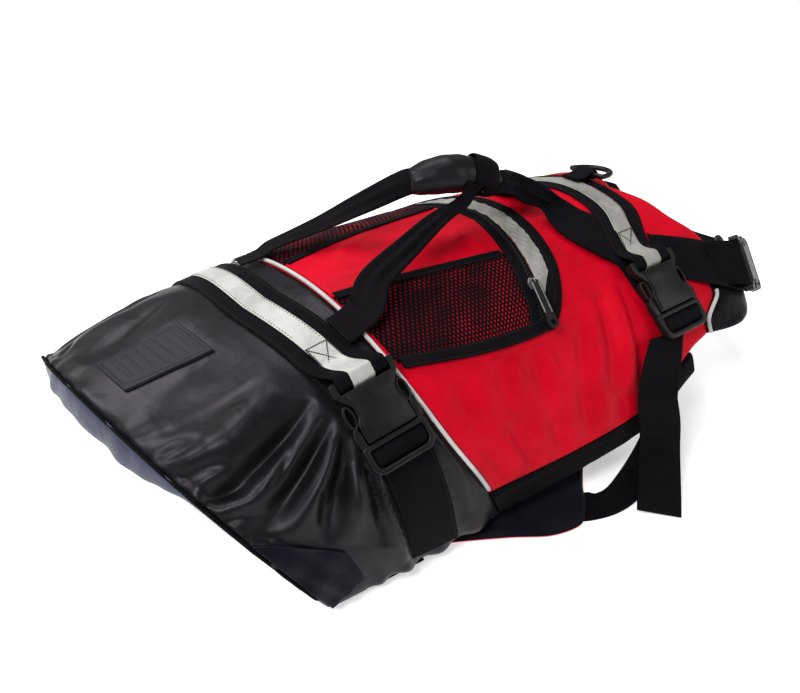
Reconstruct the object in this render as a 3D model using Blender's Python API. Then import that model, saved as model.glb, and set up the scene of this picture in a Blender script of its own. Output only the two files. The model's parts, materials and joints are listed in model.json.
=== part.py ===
# Buoyancy jacket for a large dog, foam stiffened, buckled shut in its worn, hollow form.
# Metres, +Z up. X runs from the rump hem (-X) to the neck (+X); the buckles are on the -Y side.
# The origin is the middle of the jacket's outline on the surface that it stands on.

import math

import bmesh
import bpy
from mathutils import Matrix, Vector

# The torso form: arched sections from the rump hem forward to the shoulders.
# station: X at the ridge; half_width, top, foot: of the arch; roundness: 2 is an ellipse, more is
# boxier; rack: how far each metre of +Y lies behind; sweep: how far the foot lies ahead of the ridge.
SECTION_COLUMNS = ("station", "half_width", "top", "foot", "roundness", "rack", "sweep")
SECTIONS = (
    (-0.335, 0.186, 0.130, 0.0005, 2.55, 0.22, 0.072),
    (-0.200, 0.188, 0.177, 0.0035, 2.35, 0.19, 0.030),
    (-0.100, 0.189, 0.191, 0.0120, 2.15, 0.12, 0.030),
    (0.020, 0.192, 0.194, 0.0240, 2.00, 0.02, 0.010),
    (0.110, 0.194, 0.192, 0.0320, 1.95, 0.00, 0.000),
    (0.190, 0.190, 0.188, 0.0420, 1.90, 0.00, 0.000),
)
SHOULDER = 0.190        # ahead of this station the form rounds in towards the chest
CHEST_REACH = 0.175     # how far the chest lies ahead of the shoulder
CHEST_STRETCH = 1.25    # surface distance for each metre of reach, as laid out on the form
CHEST_FOOT_DROP = 0.012
CHEST_TOP_DROP = 0.055
CHEST_FLARE = 0.011     # how far the chest pieces stand off below

# The middle of the outline on the floor, which becomes the origin.
FLOOR_CENTRE = (0.01275, -0.01795)

# Cloth, foam and webbing.
SEAM_GAP = 0.0003
FOAM_REAR = 0.015
FOAM_BODY = 0.012
FOAM_EDGE = 0.004
CHEST_WALL = 0.006
BINDING_WALL = 0.005
CLOTH = 0.0014
WEB_WIDTH = 0.048
WEB_THICK = 0.0018
TAPE_WIDTH = 0.020
TAPE_THICK = 0.0008
PIPING_RADIUS = 0.0019
LAY_FIRST = 0.0007      # height of the first layer laid on a panel
LAY_SECOND = 0.0026     # height of what is laid over that layer
LAY_THIRD = 0.0046      # height of what crosses the piping

REAR_HEM = -0.333
LOWER_EDGE = 0.975      # girth position of the lower hems; 0 is the ridge, 1 the foot
BINDING_TOP = 0.885
BINDING_END = 0.180     # station where the lower binding stops

# Lines drawn on the form as (girth position, station), the same on both sides.
REAR_SEAM = ((0.0, -0.140), (0.45, -0.142), (0.65, -0.136), (0.86, -0.118), (1.0, -0.108))
GIRTH_REAR = ((0.0, -0.187), (0.20, -0.182), (0.60, -0.179), (0.80, -0.184), (1.0, -0.190))
GIRTH_FRONT = ((0.0, 0.190), (0.15, 0.187), (0.27, 0.173), (0.40, 0.164), (0.54, 0.170), (0.66, 0.176))
ZIP_LINE = ((0.0, 0.055), (0.12, 0.051), (0.28, 0.041), (0.38, 0.032), (0.47, 0.019))
POCKET_RIM = ((0.0, 0.088), (0.16, 0.083), (0.31, 0.070), (0.43, 0.046), (0.49, 0.025))
# Lines drawn as (station, girth position).
MESH_TOP = ((-0.140, 0.100), (-0.055, 0.150), (0.040, 0.190))
MESH_BOTTOM = ((-0.140, 0.375), (-0.067, 0.435), (0.005, 0.455), (0.040, 0.450))
LOWER_LINE = ((-0.15, 0.975), (0.09, 0.975), (0.125, 0.950), (0.157, 0.885), (0.190, 0.830),
              (0.220, 0.800), (0.256, 0.800), (0.34, 0.810))
# The front edge of the body as (share of the way from ridge to lower edge, station).
FRONT_EDGE = ((0.0, 0.219), (0.20, 0.233), (0.35, 0.239), (0.52, 0.255), (0.66, 0.258),
              (0.78, 0.232), (0.86, 0.228), (0.92, 0.209), (1.0, 0.205))
CHEST_TOP_PART = 20 / 28    # of the way down the body's front edge
CHEST_FRONT_STATION = 0.330
CHEST_WIDEN = 0.055

# Folds as rows: girth and station of the upper end, then of the lower end, height, half width.
REAR_FOLDS = (
    (0.36, -0.212, 0.34, -0.322, 0.0060, 0.020),
    (0.22, -0.215, 0.19, -0.310, 0.0030, 0.014),
    (0.10, -0.220, 0.05, -0.318, 0.0022, 0.012),
    (0.45, -0.214, 0.46, -0.312, 0.0045, 0.011),
    (0.47, -0.215, 0.55, -0.302, 0.0045, 0.010),
    (0.50, -0.216, 0.64, -0.290, 0.0045, 0.010),
    (0.53, -0.217, 0.71, -0.272, 0.0040, 0.009),
    (0.57, -0.218, 0.77, -0.252, 0.0040, 0.009),
    (0.62, -0.219, 0.82, -0.236, 0.0030, 0.008),
)
SIDE_FOLDS = (
    (0.60, 0.030, 0.86, 0.020, 0.0022, 0.008),
    (0.55, 0.062, 0.88, 0.058, 0.0030, 0.009),
    (0.52, 0.094, 0.88, 0.090, 0.0026, 0.008),
    (0.56, 0.122, 0.84, 0.124, 0.0030, 0.008),
    (0.62, -0.040, 0.84, -0.030, 0.0020, 0.009),
    (0.66, -0.085, 0.84, -0.072, 0.0018, 0.008),
)

COLOURS = {
    "nylon_black": ((0.030, 0.030, 0.033), 0.55, 0.0),
    "nylon_red": ((0.560, 0.012, 0.022), 0.60, 0.0),
    "lining_navy": ((0.050, 0.052, 0.075), 0.50, 0.0),
    "mesh_black": ((0.020, 0.020, 0.022), 0.80, 0.0),
    "webbing_black": ((0.016, 0.016, 0.017), 0.75, 0.0),
    "reflective_silver": ((0.560, 0.560, 0.570), 0.35, 0.2),
    "piping_white": ((0.620, 0.620, 0.630), 0.45, 0.0),
    "buckle_plastic": ((0.022, 0.022, 0.024), 0.38, 0.0),
    "patch_rubber": ((0.030, 0.030, 0.040), 0.50, 0.0),
    "zip_metal": ((0.110, 0.110, 0.115), 0.35, 0.6),
}

materials = {}


def material(name):
    if name not in materials:
        colour, roughness, metallic = COLOURS[name]
        made = bpy.data.materials.new(name)
        made.use_nodes = True
        shader = made.node_tree.nodes["Principled BSDF"]
        shader.inputs["Base Color"].default_value = (*colour, 1.0)
        shader.inputs["Roughness"].default_value = roughness
        shader.inputs["Metallic"].default_value = metallic
        materials[name] = made
    return materials[name]


def add_solid(name, points, faces, material_name):
    mesh = bpy.data.meshes.new(name)
    shift = Vector((-FLOOR_CENTRE[0], -FLOOR_CENTRE[1], 0.0))
    mesh.from_pydata([tuple(Vector(p) + shift) for p in points], [], faces)
    work = bmesh.new()
    work.from_mesh(mesh)
    bmesh.ops.recalc_face_normals(work, faces=work.faces)
    work.to_mesh(mesh)
    work.free()
    mesh.shade_smooth()
    mesh.set_sharp_from_angle(angle=math.radians(35))
    mesh.materials.append(material(material_name))
    solid = bpy.data.objects.new(name, mesh)
    bpy.context.scene.collection.objects.link(solid)
    return solid


# ---- reading the tables

def along(table, where):
    # A smooth curve through the table's rows, flat beyond its ends.
    where = min(max(where, table[0][0]), table[-1][0])
    last = len(table) - 1
    row = max(i for i in range(last) if table[i][0] <= where)
    slopes = [(table[i + 1][1] - table[i][1]) / (table[i + 1][0] - table[i][0]) for i in range(last)]
    start = slopes[row] if row == 0 else (slopes[row - 1] + slopes[row]) / 2
    end = slopes[row] if row == last - 1 else (slopes[row] + slopes[row + 1]) / 2
    span = table[row + 1][0] - table[row][0]
    s = (where - table[row][0]) / span
    return ((2 * s**3 - 3 * s**2 + 1) * table[row][1] + (s**3 - 2 * s**2 + s) * span * start
            + (3 * s**2 - 2 * s**3) * table[row + 1][1] + (s**3 - s**2) * span * end)


SECTION_CURVES = {
    column: tuple((row[0], row[i + 1]) for row in SECTIONS)
    for i, column in enumerate(SECTION_COLUMNS[1:])
}


def form_point(station, girth):
    # girth: 0 at the ridge, -1 at the near foot, +1 at the far foot.
    turn = max(station - SHOULDER, 0.0) / (CHEST_REACH * CHEST_STRETCH) * math.pi / 2
    section = {name: along(curve, min(station, SHOULDER)) for name, curve in SECTION_CURVES.items()}
    power = 2 / section["roundness"]
    angle = girth * math.pi / 2
    across = math.copysign(abs(math.sin(angle)) ** power, angle)
    up = abs(math.cos(angle)) ** power
    inward = 1 - abs(math.cos(turn))
    foot = section["foot"] - CHEST_FOOT_DROP * inward
    top = section["top"] - CHEST_TOP_DROP * inward
    y = section["half_width"] * across * math.cos(turn)
    x = min(station, SHOULDER) - section["rack"] * y + section["sweep"] * (1 - up)
    return Vector((x + CHEST_REACH * math.sin(turn), y, foot + (top - foot) * up))


def form_frame(station, girth):
    # The directions along the body, round the girth towards the far side, and outwards.
    step = 0.002
    ahead = form_point(station + step, girth) - form_point(station - step, girth)
    inner = max(-0.99, min(0.99, girth))
    around = form_point(station, inner + step) - form_point(station, inner - step)
    outward = ahead.cross(around).normalized()
    return ahead / (2 * step), around / (2 * step), outward


def fold_height(folds, station, girth):
    # Each fold is a soft ridge along a straight line, faded at both ends.
    girth = abs(girth)
    reach = 0.29    # metres of cloth from ridge to foot
    height = 0.0
    for girth_a, station_a, girth_b, station_b, tall, half in folds:
        line = Vector((station_b - station_a, (girth_b - girth_a) * reach))
        place = Vector((station - station_a, (girth - girth_a) * reach))
        share = place.dot(line) / line.length_squared
        if 0.0 < share < 1.0:
            away = abs(place.x * line.y - place.y * line.x) / line.length
            fade = math.sin(share * math.pi) ** 0.9
            height += tall * fade * math.exp(-((away / half) ** 2))
    return height


def skin(station, girth, lift=0.0, folds=()):
    lift += fold_height(folds, station, girth) if folds else 0.0
    return form_point(station, girth) + form_frame(station, girth)[2] * lift


def spread(count, low=0.0, high=1.0):
    return [low + (high - low) * i / count for i in range(count + 1)]


# ---- builders of solids

def wall(name, outer, inner, material_name):
    # outer is a grid of points; inner is its inside, on every second row and column.
    rows, columns = len(outer), len(outer[0])
    few, narrow = len(inner), len(inner[0])
    points = [p for row in outer for p in row] + [p for row in inner for p in row]
    base = rows * columns
    faces = []
    for i in range(rows - 1):
        for j in range(columns - 1):
            a = i * columns + j
            faces.append((a, a + 1, a + columns + 1, a + columns))
    for i in range(few - 1):
        for j in range(narrow - 1):
            a = base + i * narrow + j
            faces.append((a, a + narrow, a + narrow + 1, a + 1))
    edges = [
        ([j for j in range(columns)], [base + j for j in range(narrow)]),
        ([(rows - 1) * columns + j for j in range(columns)],
         [base + (few - 1) * narrow + j for j in range(narrow)]),
        ([i * columns for i in range(rows)], [base + i * narrow for i in range(few)]),
        ([i * columns + columns - 1 for i in range(rows)],
         [base + i * narrow + narrow - 1 for i in range(few)]),
    ]
    for fine, coarse in edges:
        for k in range(len(coarse) - 1):
            a, b, c = fine[2 * k], fine[2 * k + 1], fine[2 * k + 2]
            faces += [(a, b, coarse[k]), (b, coarse[k + 1], coarse[k]), (b, c, coarse[k + 1])]
    return add_solid(name, points, faces, material_name)


def loft(name, loops, material_name):
    # A solid through closed loops of equal length, capped at both ends.
    size = len(loops[0])
    points = [p for loop in loops for p in loop]
    faces = [tuple(range(size))[::-1], tuple(range((len(loops) - 1) * size, len(loops) * size))]
    for i in range(len(loops) - 1):
        for j in range(size):
            a, b = i * size + j, i * size + (j + 1) % size
            faces.append((a, b, b + size, a + size))
    return add_solid(name, points, faces, material_name)


def sheet(name, place, rows, columns, lift, thick, material_name, folds=()):
    # Cloth laid on the form; place gives (station, girth) at two shares from 0 to 1.
    loops = []
    for r in spread(rows):
        spots = [place(r, c) for c in spread(columns)]
        top = [skin(s, g, lift + thick, folds) for s, g in spots]
        bottom = [skin(s, g, lift, folds) for s, g in spots]
        loops.append(top + bottom[::-1])
    return loft(name, loops, material_name)


def band(name, path, width, lift, thick, material_name, columns=2, under=None, clear=None):
    # Webbing laid on the form along a path of (station, girth), square across its own line.
    # under gives the height of what lies beneath it; clear keeps a spot off its neighbour.
    loops = []
    for i, (station, girth) in enumerate(path):
        before, after = path[max(i - 1, 0)], path[min(i + 1, len(path) - 1)]
        ahead, around, outward = form_frame(station, girth)
        tangent = ahead * (after[0] - before[0]) + around * (after[1] - before[1])
        side = outward.cross(tangent).normalized()
        spots = []
        for share in spread(columns, -0.5, 0.5):
            reach = side * share * width
            spots.append((station + reach.dot(ahead) / ahead.length_squared,
                          girth + reach.dot(around) / around.length_squared))
        spots = [clear(s, g) for s, g in spots] if clear else spots
        heights = [lift + (under(s, g) if under else 0.0) for s, g in spots]
        top = [skin(s, g, h + thick) for (s, g), h in zip(spots, heights)]
        bottom = [skin(s, g, h) for (s, g), h in zip(spots, heights)]
        loops.append(top + bottom[::-1])
    return loft(name, loops, material_name)


def ribbon(name, rows, thick, material_name):
    # Webbing in the air: rows of (left edge, right edge).
    middles = [(Vector(left) + Vector(right)) / 2 for left, right in rows]
    loops = []
    for i, (left, right) in enumerate(rows):
        left, right = Vector(left), Vector(right)
        tangent = middles[min(i + 1, len(rows) - 1)] - middles[max(i - 1, 0)]
        face = tangent.cross(right - left).normalized() * thick / 2
        loops.append([right + face, left + face, left - face, right - face])
    return loft(name, loops, material_name)


def edges_of(rows):
    # Turns rows of (centre, direction across, width) into rows of (left edge, right edge).
    made = []
    for i, (centre, across, width) in enumerate(rows):
        tangent = (Vector(rows[min(i + 1, len(rows) - 1)][0]) - Vector(rows[max(i - 1, 0)][0])).normalized()
        across = Vector(across)
        side = (across - tangent * across.dot(tangent)).normalized() * width / 2
        made.append((Vector(centre) - side, Vector(centre) + side))
    return made


def tube(name, centres, radius, sides, material_name, closed=False):
    loops = []
    count = len(centres)
    side = None
    for i, centre in enumerate(centres):
        before = centres[(i - 1) % count] if closed else centres[max(i - 1, 0)]
        after = centres[(i + 1) % count] if closed else centres[min(i + 1, count - 1)]
        tangent = (after - before).normalized()
        side = tangent.orthogonal() if side is None else side - tangent * side.dot(tangent)
        side.normalize()
        up = tangent.cross(side)
        loops.append([centre + (side * math.cos(a) + up * math.sin(a)) * radius
                      for a in spread(sides, 0, 2 * math.pi)[:-1]])
    if not closed:
        return loft(name, loops, material_name)
    points = [p for loop in loops for p in loop]
    faces = []
    for i in range(count):
        for j in range(sides):
            k = (j + 1) % sides
            n = (i + 1) % count
            faces.append((i * sides + j, i * sides + k, n * sides + k, n * sides + j))
    return add_solid(name, points, faces, material_name)


def plate(name, outline, holes, low, high, frame, material_name):
    # A flat part cut from an outline with holes, between two heights of its own frame.
    work = bmesh.new()
    for loop in [outline] + holes:
        corners = [work.verts.new((x, y, 0.0)) for x, y in loop]
        for i, corner in enumerate(corners):
            work.edges.new((corner, corners[(i + 1) % len(corners)]))
    bmesh.ops.triangle_fill(work, use_beauty=True, edges=work.edges[:])
    work.verts.index_update()
    flat = [v.co.copy() for v in work.verts]
    cover = [tuple(v.index for v in face.verts) for face in work.faces]
    rim = [tuple(v.index for v in edge.verts) for edge in work.edges if len(edge.link_faces) == 1]
    work.free()
    count = len(flat)
    points = [frame @ Vector((p.x, p.y, low)) for p in flat]
    points += [frame @ Vector((p.x, p.y, high)) for p in flat]
    faces = [face[::-1] for face in cover] + [tuple(i + count for i in face) for face in cover]
    faces += [(a, b, b + count, a + count) for a, b in rim]
    return add_solid(name, points, faces, material_name)


def frame_on(origin, across, outward):
    # Axes: x across, z outwards, y square to both.
    z = Vector(outward).normalized()
    x = (Vector(across) - z * Vector(across).dot(z)).normalized()
    y = z.cross(x)
    turned = Matrix((x, y, z)).transposed().to_4x4()
    return Matrix.Translation(origin) @ turned


# ---- the cut pieces of the shell

def seam_station(girth):
    return along(REAR_SEAM, abs(girth))


def build_rear_panel():
    rows, columns = 22, 64
    girths = [math.copysign(abs(s) ** 0.93, s) * 0.995 for s in spread(columns, -1.0, 1.0)]
    outer, inner = [], []
    for i, share in enumerate(spread(rows)):
        row = []
        for girth in girths:
            station = REAR_HEM + share * (seam_station(girth) - SEAM_GAP - REAR_HEM)
            row.append((station, girth))
        outer.append([skin(s, g, 0.0, REAR_FOLDS) for s, g in row])
        if i % 2 == 0:
            inner.append([skin(s, g, -rear_foam(share, g)) for s, g in row[::2]])
    wall("rear_panel", outer, inner, "nylon_black")


def rear_foam(share, girth):
    edge = min(1.0, (1 - abs(girth)) / 0.10)
    return FOAM_EDGE + (FOAM_REAR - FOAM_EDGE) * math.sin(edge * math.pi / 2)


def body_reach(station):
    # The girth position where the body panel ends, just above the binding.
    return along(LOWER_LINE, station) - LOWER_EDGE + BINDING_TOP - 0.0035


def build_body():
    rows, columns = 24, 56
    outer, inner = [], []
    for i, share in enumerate(spread(rows)):
        row = []
        for part in spread(columns, -1.0, 1.0):
            front = along(FRONT_EDGE, abs(part))
            girth = part * 0.9
            for _ in range(4):
                start = seam_station(girth) + SEAM_GAP
                station = start + share * (front - start)
                girth = part * body_reach(station)
            row.append((station, girth))
        outer.append([skin(s, g, 0.0, SIDE_FOLDS) for s, g in row])
        if i % 2 == 0:
            inner.append([skin(s, g, -body_foam(share, c / (columns / 2) - 1)) for c, (s, g)
                          in zip(range(0, columns + 1, 2), row[::2])])
    wall("body_red", outer, inner, "nylon_red")


def body_foam(share, part):
    edge = min(1.0, (1 - abs(part)) / 0.12, (1 - share) / 0.12)
    return FOAM_EDGE + (FOAM_BODY - FOAM_EDGE) * math.sin(max(edge, 0.0) * math.pi / 2)


def build_binding(side, name):
    outer, inner = [], []
    columns = 2
    rows = 28
    for i, share in enumerate(spread(rows)):
        row = []
        for part in spread(columns):
            girth = BINDING_TOP + part * (LOWER_EDGE - BINDING_TOP)
            start = seam_station(girth) + SEAM_GAP
            station = start + share * (BINDING_END - start)
            drop = along(LOWER_LINE, station) - LOWER_EDGE
            row.append((station, side * (girth + drop)))
        outer.append([skin(s, g) for s, g in row])
        if i % 2 == 0:
            inner.append([skin(s, g, -BINDING_WALL) for s, g in row[::2]])
    wall(name, outer, inner, "webbing_black")


def chest_spot(share, part):
    # part: 0 at the upper edge of a chest piece, 1 at its lower edge.
    body_part = CHEST_TOP_PART + part * (1 - CHEST_TOP_PART)
    start = along(FRONT_EDGE, body_part)
    girth = body_part * body_reach(start)
    tip = CHEST_FRONT_STATION - 0.02 * (2 * part - 1) ** 2
    girth += CHEST_WIDEN * (2 * part - 1) * math.sin(min(share * 1.25, 1.0) * math.pi / 2)
    return start + 3 * SEAM_GAP + share * (tip - start), girth


def chest_flare(share, part):
    return CHEST_FLARE * part * math.sin(min(share * 1.2, 1.0) * math.pi)


def build_chest(side, name):
    outer, inner = [], []
    for i, share in enumerate(spread(14)):
        spots = [(*chest_spot(share, part), chest_flare(share, part)) for part in spread(8)]
        outer.append([skin(s, side * g, h) for s, g, h in spots])
        if i % 2 == 0:
            inner.append([skin(s, side * g, h - CHEST_WALL) for s, g, h in spots[::2]])
    wall(name, outer, inner, "nylon_black")


def chest_height(station, girth):
    # How far the chest piece stands off the form here, on either side of the middle.
    middle = SHOULDER + CHEST_REACH * CHEST_STRETCH
    station = min(station, 2 * middle - station)
    girth = abs(girth)
    share = min(max((station - 0.250) / (CHEST_FRONT_STATION - 0.250), 0.0), 1.0)
    low, high = chest_spot(share, 1.0)[1], chest_spot(share, 0.0)[1]
    part = min(max((girth - high) / (low - high), 0.0), 1.0)
    return CHEST_FLARE * part


def build_rear_trim():
    # The lining cloth over the foam's rear end: widest at the back, narrow round the shoulders.
    loops = []
    for girth in spread(40, -0.985, 0.985):
        ahead, _, outward = form_frame(REAR_HEM, girth)
        aft = -ahead.normalized()
        back = math.exp(-((girth / 0.30) ** 4))
        depth = 0.007 + 0.016 * back
        fall = (-outward).lerp(Vector((0.0, 0.0, -1.0)), back).normalized()
        edge = form_point(REAR_HEM, girth) + aft * SEAM_GAP * 2
        bulge = aft * (0.0025 + 0.0065 * back)
        loops.append([edge, edge + bulge * 0.8 + fall * depth * 0.35, edge + bulge + fall * depth * 0.8,
                      edge + fall * depth])
    loft("rear_end_band", loops, "lining_navy")
    for side, name in ((-1, "rear_corner_near"), (1, "rear_corner_far")):
        def place(r, c, side=side):
            high = 0.60 + 0.21 * r
            return REAR_HEM + 0.001 + r * 0.056, side * (high + c * (0.985 - 0.055 * r - high))
        sheet(name, place, 6, 8, LAY_FIRST, CLOTH, "lining_navy", REAR_FOLDS)


def build_piping():
    path = [skin(seam_station(g), g, PIPING_RADIUS + LAY_FIRST) for g in spread(44, -0.86, 0.86)]
    tube("piping_rear", path, PIPING_RADIUS, 6, "piping_white")
    for side, name in ((-1, "piping_front_near"), (1, "piping_front_far")):
        path = []
        for part in spread(12, 0.84, 1.0):
            station = along(FRONT_EDGE, part)
            girth = part * body_reach(station)
            path.append(skin(station + SEAM_GAP, side * girth, PIPING_RADIUS + LAY_FIRST))
        tube(name, path, PIPING_RADIUS, 6, "piping_white")


# ---- the pocket on the back

def build_pocket():
    zip_half = 0.006

    def flap(r, c):
        station_share = c
        start = -0.136
        guess = 0.1
        for _ in range(4):
            end = along(ZIP_LINE, abs(guess)) - zip_half - 0.0006
            station = start + station_share * (end - start)
            guess = (2 * r - 1) * (along(MESH_TOP, station) - 0.004)
        return station, guess

    sheet("pocket_flap", flap, 8, 10, LAY_FIRST, CLOTH, "nylon_red")

    for side, tag in ((-1, "near"), (1, "far")):
        def mesh_place(r, c, side=side):
            girth = 0.3
            for _ in range(4):
                end = along(ZIP_LINE, girth) - zip_half - 0.0006
                station = -0.136 + r * (end + 0.136)
                low, high = along(MESH_TOP, station), along(MESH_BOTTOM, station)
                girth = low + c * (high - low)
            return station, side * girth
        sheet("pocket_mesh_" + tag, mesh_place, 10, 7, LAY_FIRST, CLOTH, "mesh_black")

        def top_binding(r, c, side=side):
            station = -0.134 + r * 0.172
            return station, side * (along(MESH_TOP, station) + (c - 0.5) * 0.034)
        sheet("mesh_binding_top_" + tag, top_binding, 12, 1, LAY_SECOND, CLOTH, "webbing_black")

        def low_binding(r, c, side=side):
            station = -0.134 + r * 0.160
            return station, side * (along(MESH_BOTTOM, station) + (c - 0.4) * 0.042)
        sheet("mesh_binding_low_" + tag, low_binding, 12, 1, LAY_SECOND, CLOTH, "webbing_black")

    def arc(low, high, end):
        def place(r, c):
            girth = (2 * r - 1) * end
            start = low(abs(girth))
            return start + c * (high(abs(girth)) - start), girth
        return place

    def zip_front(girth):
        return along(ZIP_LINE, girth) + zip_half

    def rim_back(girth):
        # The silver arc tapers to nothing between the zip and the rim.
        wide = along(POCKET_RIM, girth) - 0.0075 - zip_front(girth)
        share = min(max((girth - 0.30) / 0.09, 0.0), 1.0)
        return zip_front(girth) + wide * (1 - share) + 0.0026 * share

    sheet("zip_tape", arc(lambda g: along(ZIP_LINE, g) - zip_half, zip_front, 0.47), 32, 1, LAY_FIRST, CLOTH,
          "webbing_black")
    sheet("reflective_arc", arc(lambda g: zip_front(g) + 0.0006, lambda g: rim_back(g) - 0.0006, 0.385), 30, 1,
          LAY_FIRST, CLOTH, "reflective_silver")
    sheet("pocket_rim", arc(lambda g: rim_back(g) if g < 0.386 else zip_front(g) + 0.0006,
                            lambda g: along(POCKET_RIM, g) + 0.0045, 0.48), 36, 1, LAY_FIRST, CLOTH, "webbing_black")


ZIP_SLIDER_GIRTH = -0.325
PULL_LENGTH = 0.042
PULL_THICK = 0.0026


def build_zip_slider():
    station = along(ZIP_LINE, abs(ZIP_SLIDER_GIRTH))
    ahead, around, outward = form_frame(station, ZIP_SLIDER_GIRTH)
    base = skin(station, ZIP_SLIDER_GIRTH, LAY_FIRST + CLOTH + SEAM_GAP)
    slider = frame_on(base, ahead.normalized() - around.normalized() * 0.22, outward)
    body = ((-0.0045, -0.006), (0.0045, -0.006), (0.0055, 0.001), (0.003, 0.006), (-0.003, 0.006), (-0.0055, 0.001))
    plate("zip_slider", list(body), [], 0.0, 0.0028, slider, "zip_metal")
    hinge = slider @ Matrix.Translation((0.0, 0.0, 0.0050))
    pull = [(-0.0035, 0.0014), (0.0035, 0.0014), (0.0035, -0.010), (0.0028, -PULL_LENGTH + 0.008),
            (0.0050, -PULL_LENGTH), (0.0036, -PULL_LENGTH - 0.007), (-0.0036, -PULL_LENGTH - 0.007),
            (-0.0050, -PULL_LENGTH), (-0.0028, -PULL_LENGTH + 0.008), (-0.0035, -0.010)]
    hole = [(0.0022 * math.cos(a), -PULL_LENGTH - 0.0015 + 0.0032 * math.sin(a))
            for a in spread(10, 0, 2 * math.pi)[:-1]]
    plate("zip_pull", pull, [hole], -PULL_THICK / 2, PULL_THICK / 2, hinge, "zip_metal")
    return hinge


# ---- webbing, tapes and buckles

def girth_path(line, start, end, count):
    return [(along(line, abs(g)), g) for g in spread(count, start, end)]


FRAME_WIDTH = 0.058
BUCKLE_LENGTH = 0.080
SLOT_WIDTH = 0.0495


def rounded(width, low, high, corner, taper=0.0):
    half = width / 2
    return [(-half + taper + corner, low), (half - taper - corner, low), (half - taper, low + corner),
            (half, high - corner), (half - corner, high), (-half + corner, high), (-half, high - corner),
            (-half + taper, low + corner)]


def build_buckle(tag, frame):
    # Side release buckle: y runs from the adjusting frame (-) to the fixed end (+).
    half = BUCKLE_LENGTH / 2
    shoulder = -half + 0.026
    arm_top = shoulder + 0.033
    w = FRAME_WIDTH / 2
    neck = 0.0225
    female = [(-neck, shoulder + 0.0008), (neck, shoulder + 0.0008), (neck, arm_top + 0.001),
              (w - 0.003, arm_top + 0.004), (w - 0.001, half - 0.006), (w - 0.006, half), (-w + 0.006, half),
              (-w + 0.001, half - 0.006), (-w + 0.003, arm_top + 0.004), (-neck, arm_top + 0.001)]
    bar_slot = rounded(SLOT_WIDTH - 0.004, half - 0.0105, half - 0.0045, 0.001)
    plate("buckle_%s_female" % tag, female, [bar_slot], 0.0, 0.0100, frame, "buckle_plastic")
    arm_in = neck + 0.0006
    male = [(-w + 0.003, -half), (w - 0.003, -half), (w, -half + 0.004), (w, shoulder - 0.004),
            (w + 0.001, shoulder + 0.012), (w - 0.001, arm_top - 0.002), (w - 0.004, arm_top),
            (arm_in, arm_top - 0.004), (arm_in + 0.002, shoulder + 0.014), (arm_in, shoulder),
            (-arm_in, shoulder), (-arm_in - 0.002, shoulder + 0.014), (-arm_in, arm_top - 0.004),
            (-w + 0.004, arm_top), (-w + 0.001, arm_top - 0.002), (-w - 0.001, shoulder + 0.012),
            (-w, shoulder - 0.004), (-w, -half + 0.004)]
    slot = rounded(SLOT_WIDTH, -half + 0.0045, shoulder - 0.006, 0.002)
    plate("buckle_%s_male" % tag, male, [slot], 0.0012, 0.0082, frame, "buckle_plastic")


def build_rear_girth():
    band("girth_rear_web", girth_path(GIRTH_REAR, -0.96, 0.96, 48), WEB_WIDTH, LAY_FIRST, WEB_THICK, "webbing_black")
    band("girth_rear_tape", girth_path(GIRTH_REAR, -0.36, 0.36, 18), TAPE_WIDTH, LAY_SECOND + SEAM_GAP,
         TAPE_THICK, "reflective_silver", 1)
    middle = -0.492
    station = along(GIRTH_REAR, abs(middle))
    ahead, _, outward = form_frame(station, middle)
    base = skin(station, middle, LAY_FIRST + WEB_THICK + SEAM_GAP + 0.0002)
    build_buckle("rear", frame_on(base, ahead, outward))
    x = form_point(GIRTH_REAR[-1][1], 1.0).x + 0.040
    y = SECTIONS[1][1] - 0.006
    rows = [((x - WEB_WIDTH / 2, s * y, WEB_THICK / 2), (x + WEB_WIDTH / 2, s * y, WEB_THICK / 2))
            for s in spread(4, -1, 1)]
    ribbon("girth_rear_belly", rows, WEB_THICK, "webbing_black")


# Rows of the outer edge's x, y, z and the inner edge's x, y, z on the far side: the webbing from
# the shoulder down and back, round on the floor and in under the belly.
LOWER_WEB_ROUTE = (
    (0.1600, 0.1905, 0.0660, 0.1120, 0.1925, 0.0740),
    (0.1530, 0.2000, 0.0460, 0.1040, 0.1985, 0.0600),
    (0.1380, 0.2100, 0.0260, 0.0940, 0.2020, 0.0430),
    (0.1080, 0.2235, 0.0090, 0.0770, 0.2055, 0.0235),
    (0.0763, 0.2315, 0.0030, 0.0560, 0.2080, 0.0072),
    (0.0460, 0.2335, 0.0012, 0.0450, 0.2045, 0.0012),
    (0.0162, 0.2256, 0.0009, 0.0410, 0.2000, 0.0009),
    (-0.0060, 0.2100, 0.0009, 0.0380, 0.1985, 0.0009),
    (-0.0120, 0.1975, 0.0009, 0.0360, 0.1975, 0.0009),
)
# Rows of x, y, z and how far the webbing's width has turned towards -Y, down its free end.
TAIL_ROUTE = (
    (0.1260, -0.1885, 0.1010, -0.12), (0.1160, -0.1985, 0.0810, -0.25),
    (0.1150, -0.2085, 0.0570, -0.40), (0.1100, -0.2180, 0.0340, -0.55), (0.0975, -0.2340, 0.0160, -0.68),
    (0.0780, -0.2550, 0.0026, -0.76),
)


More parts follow.
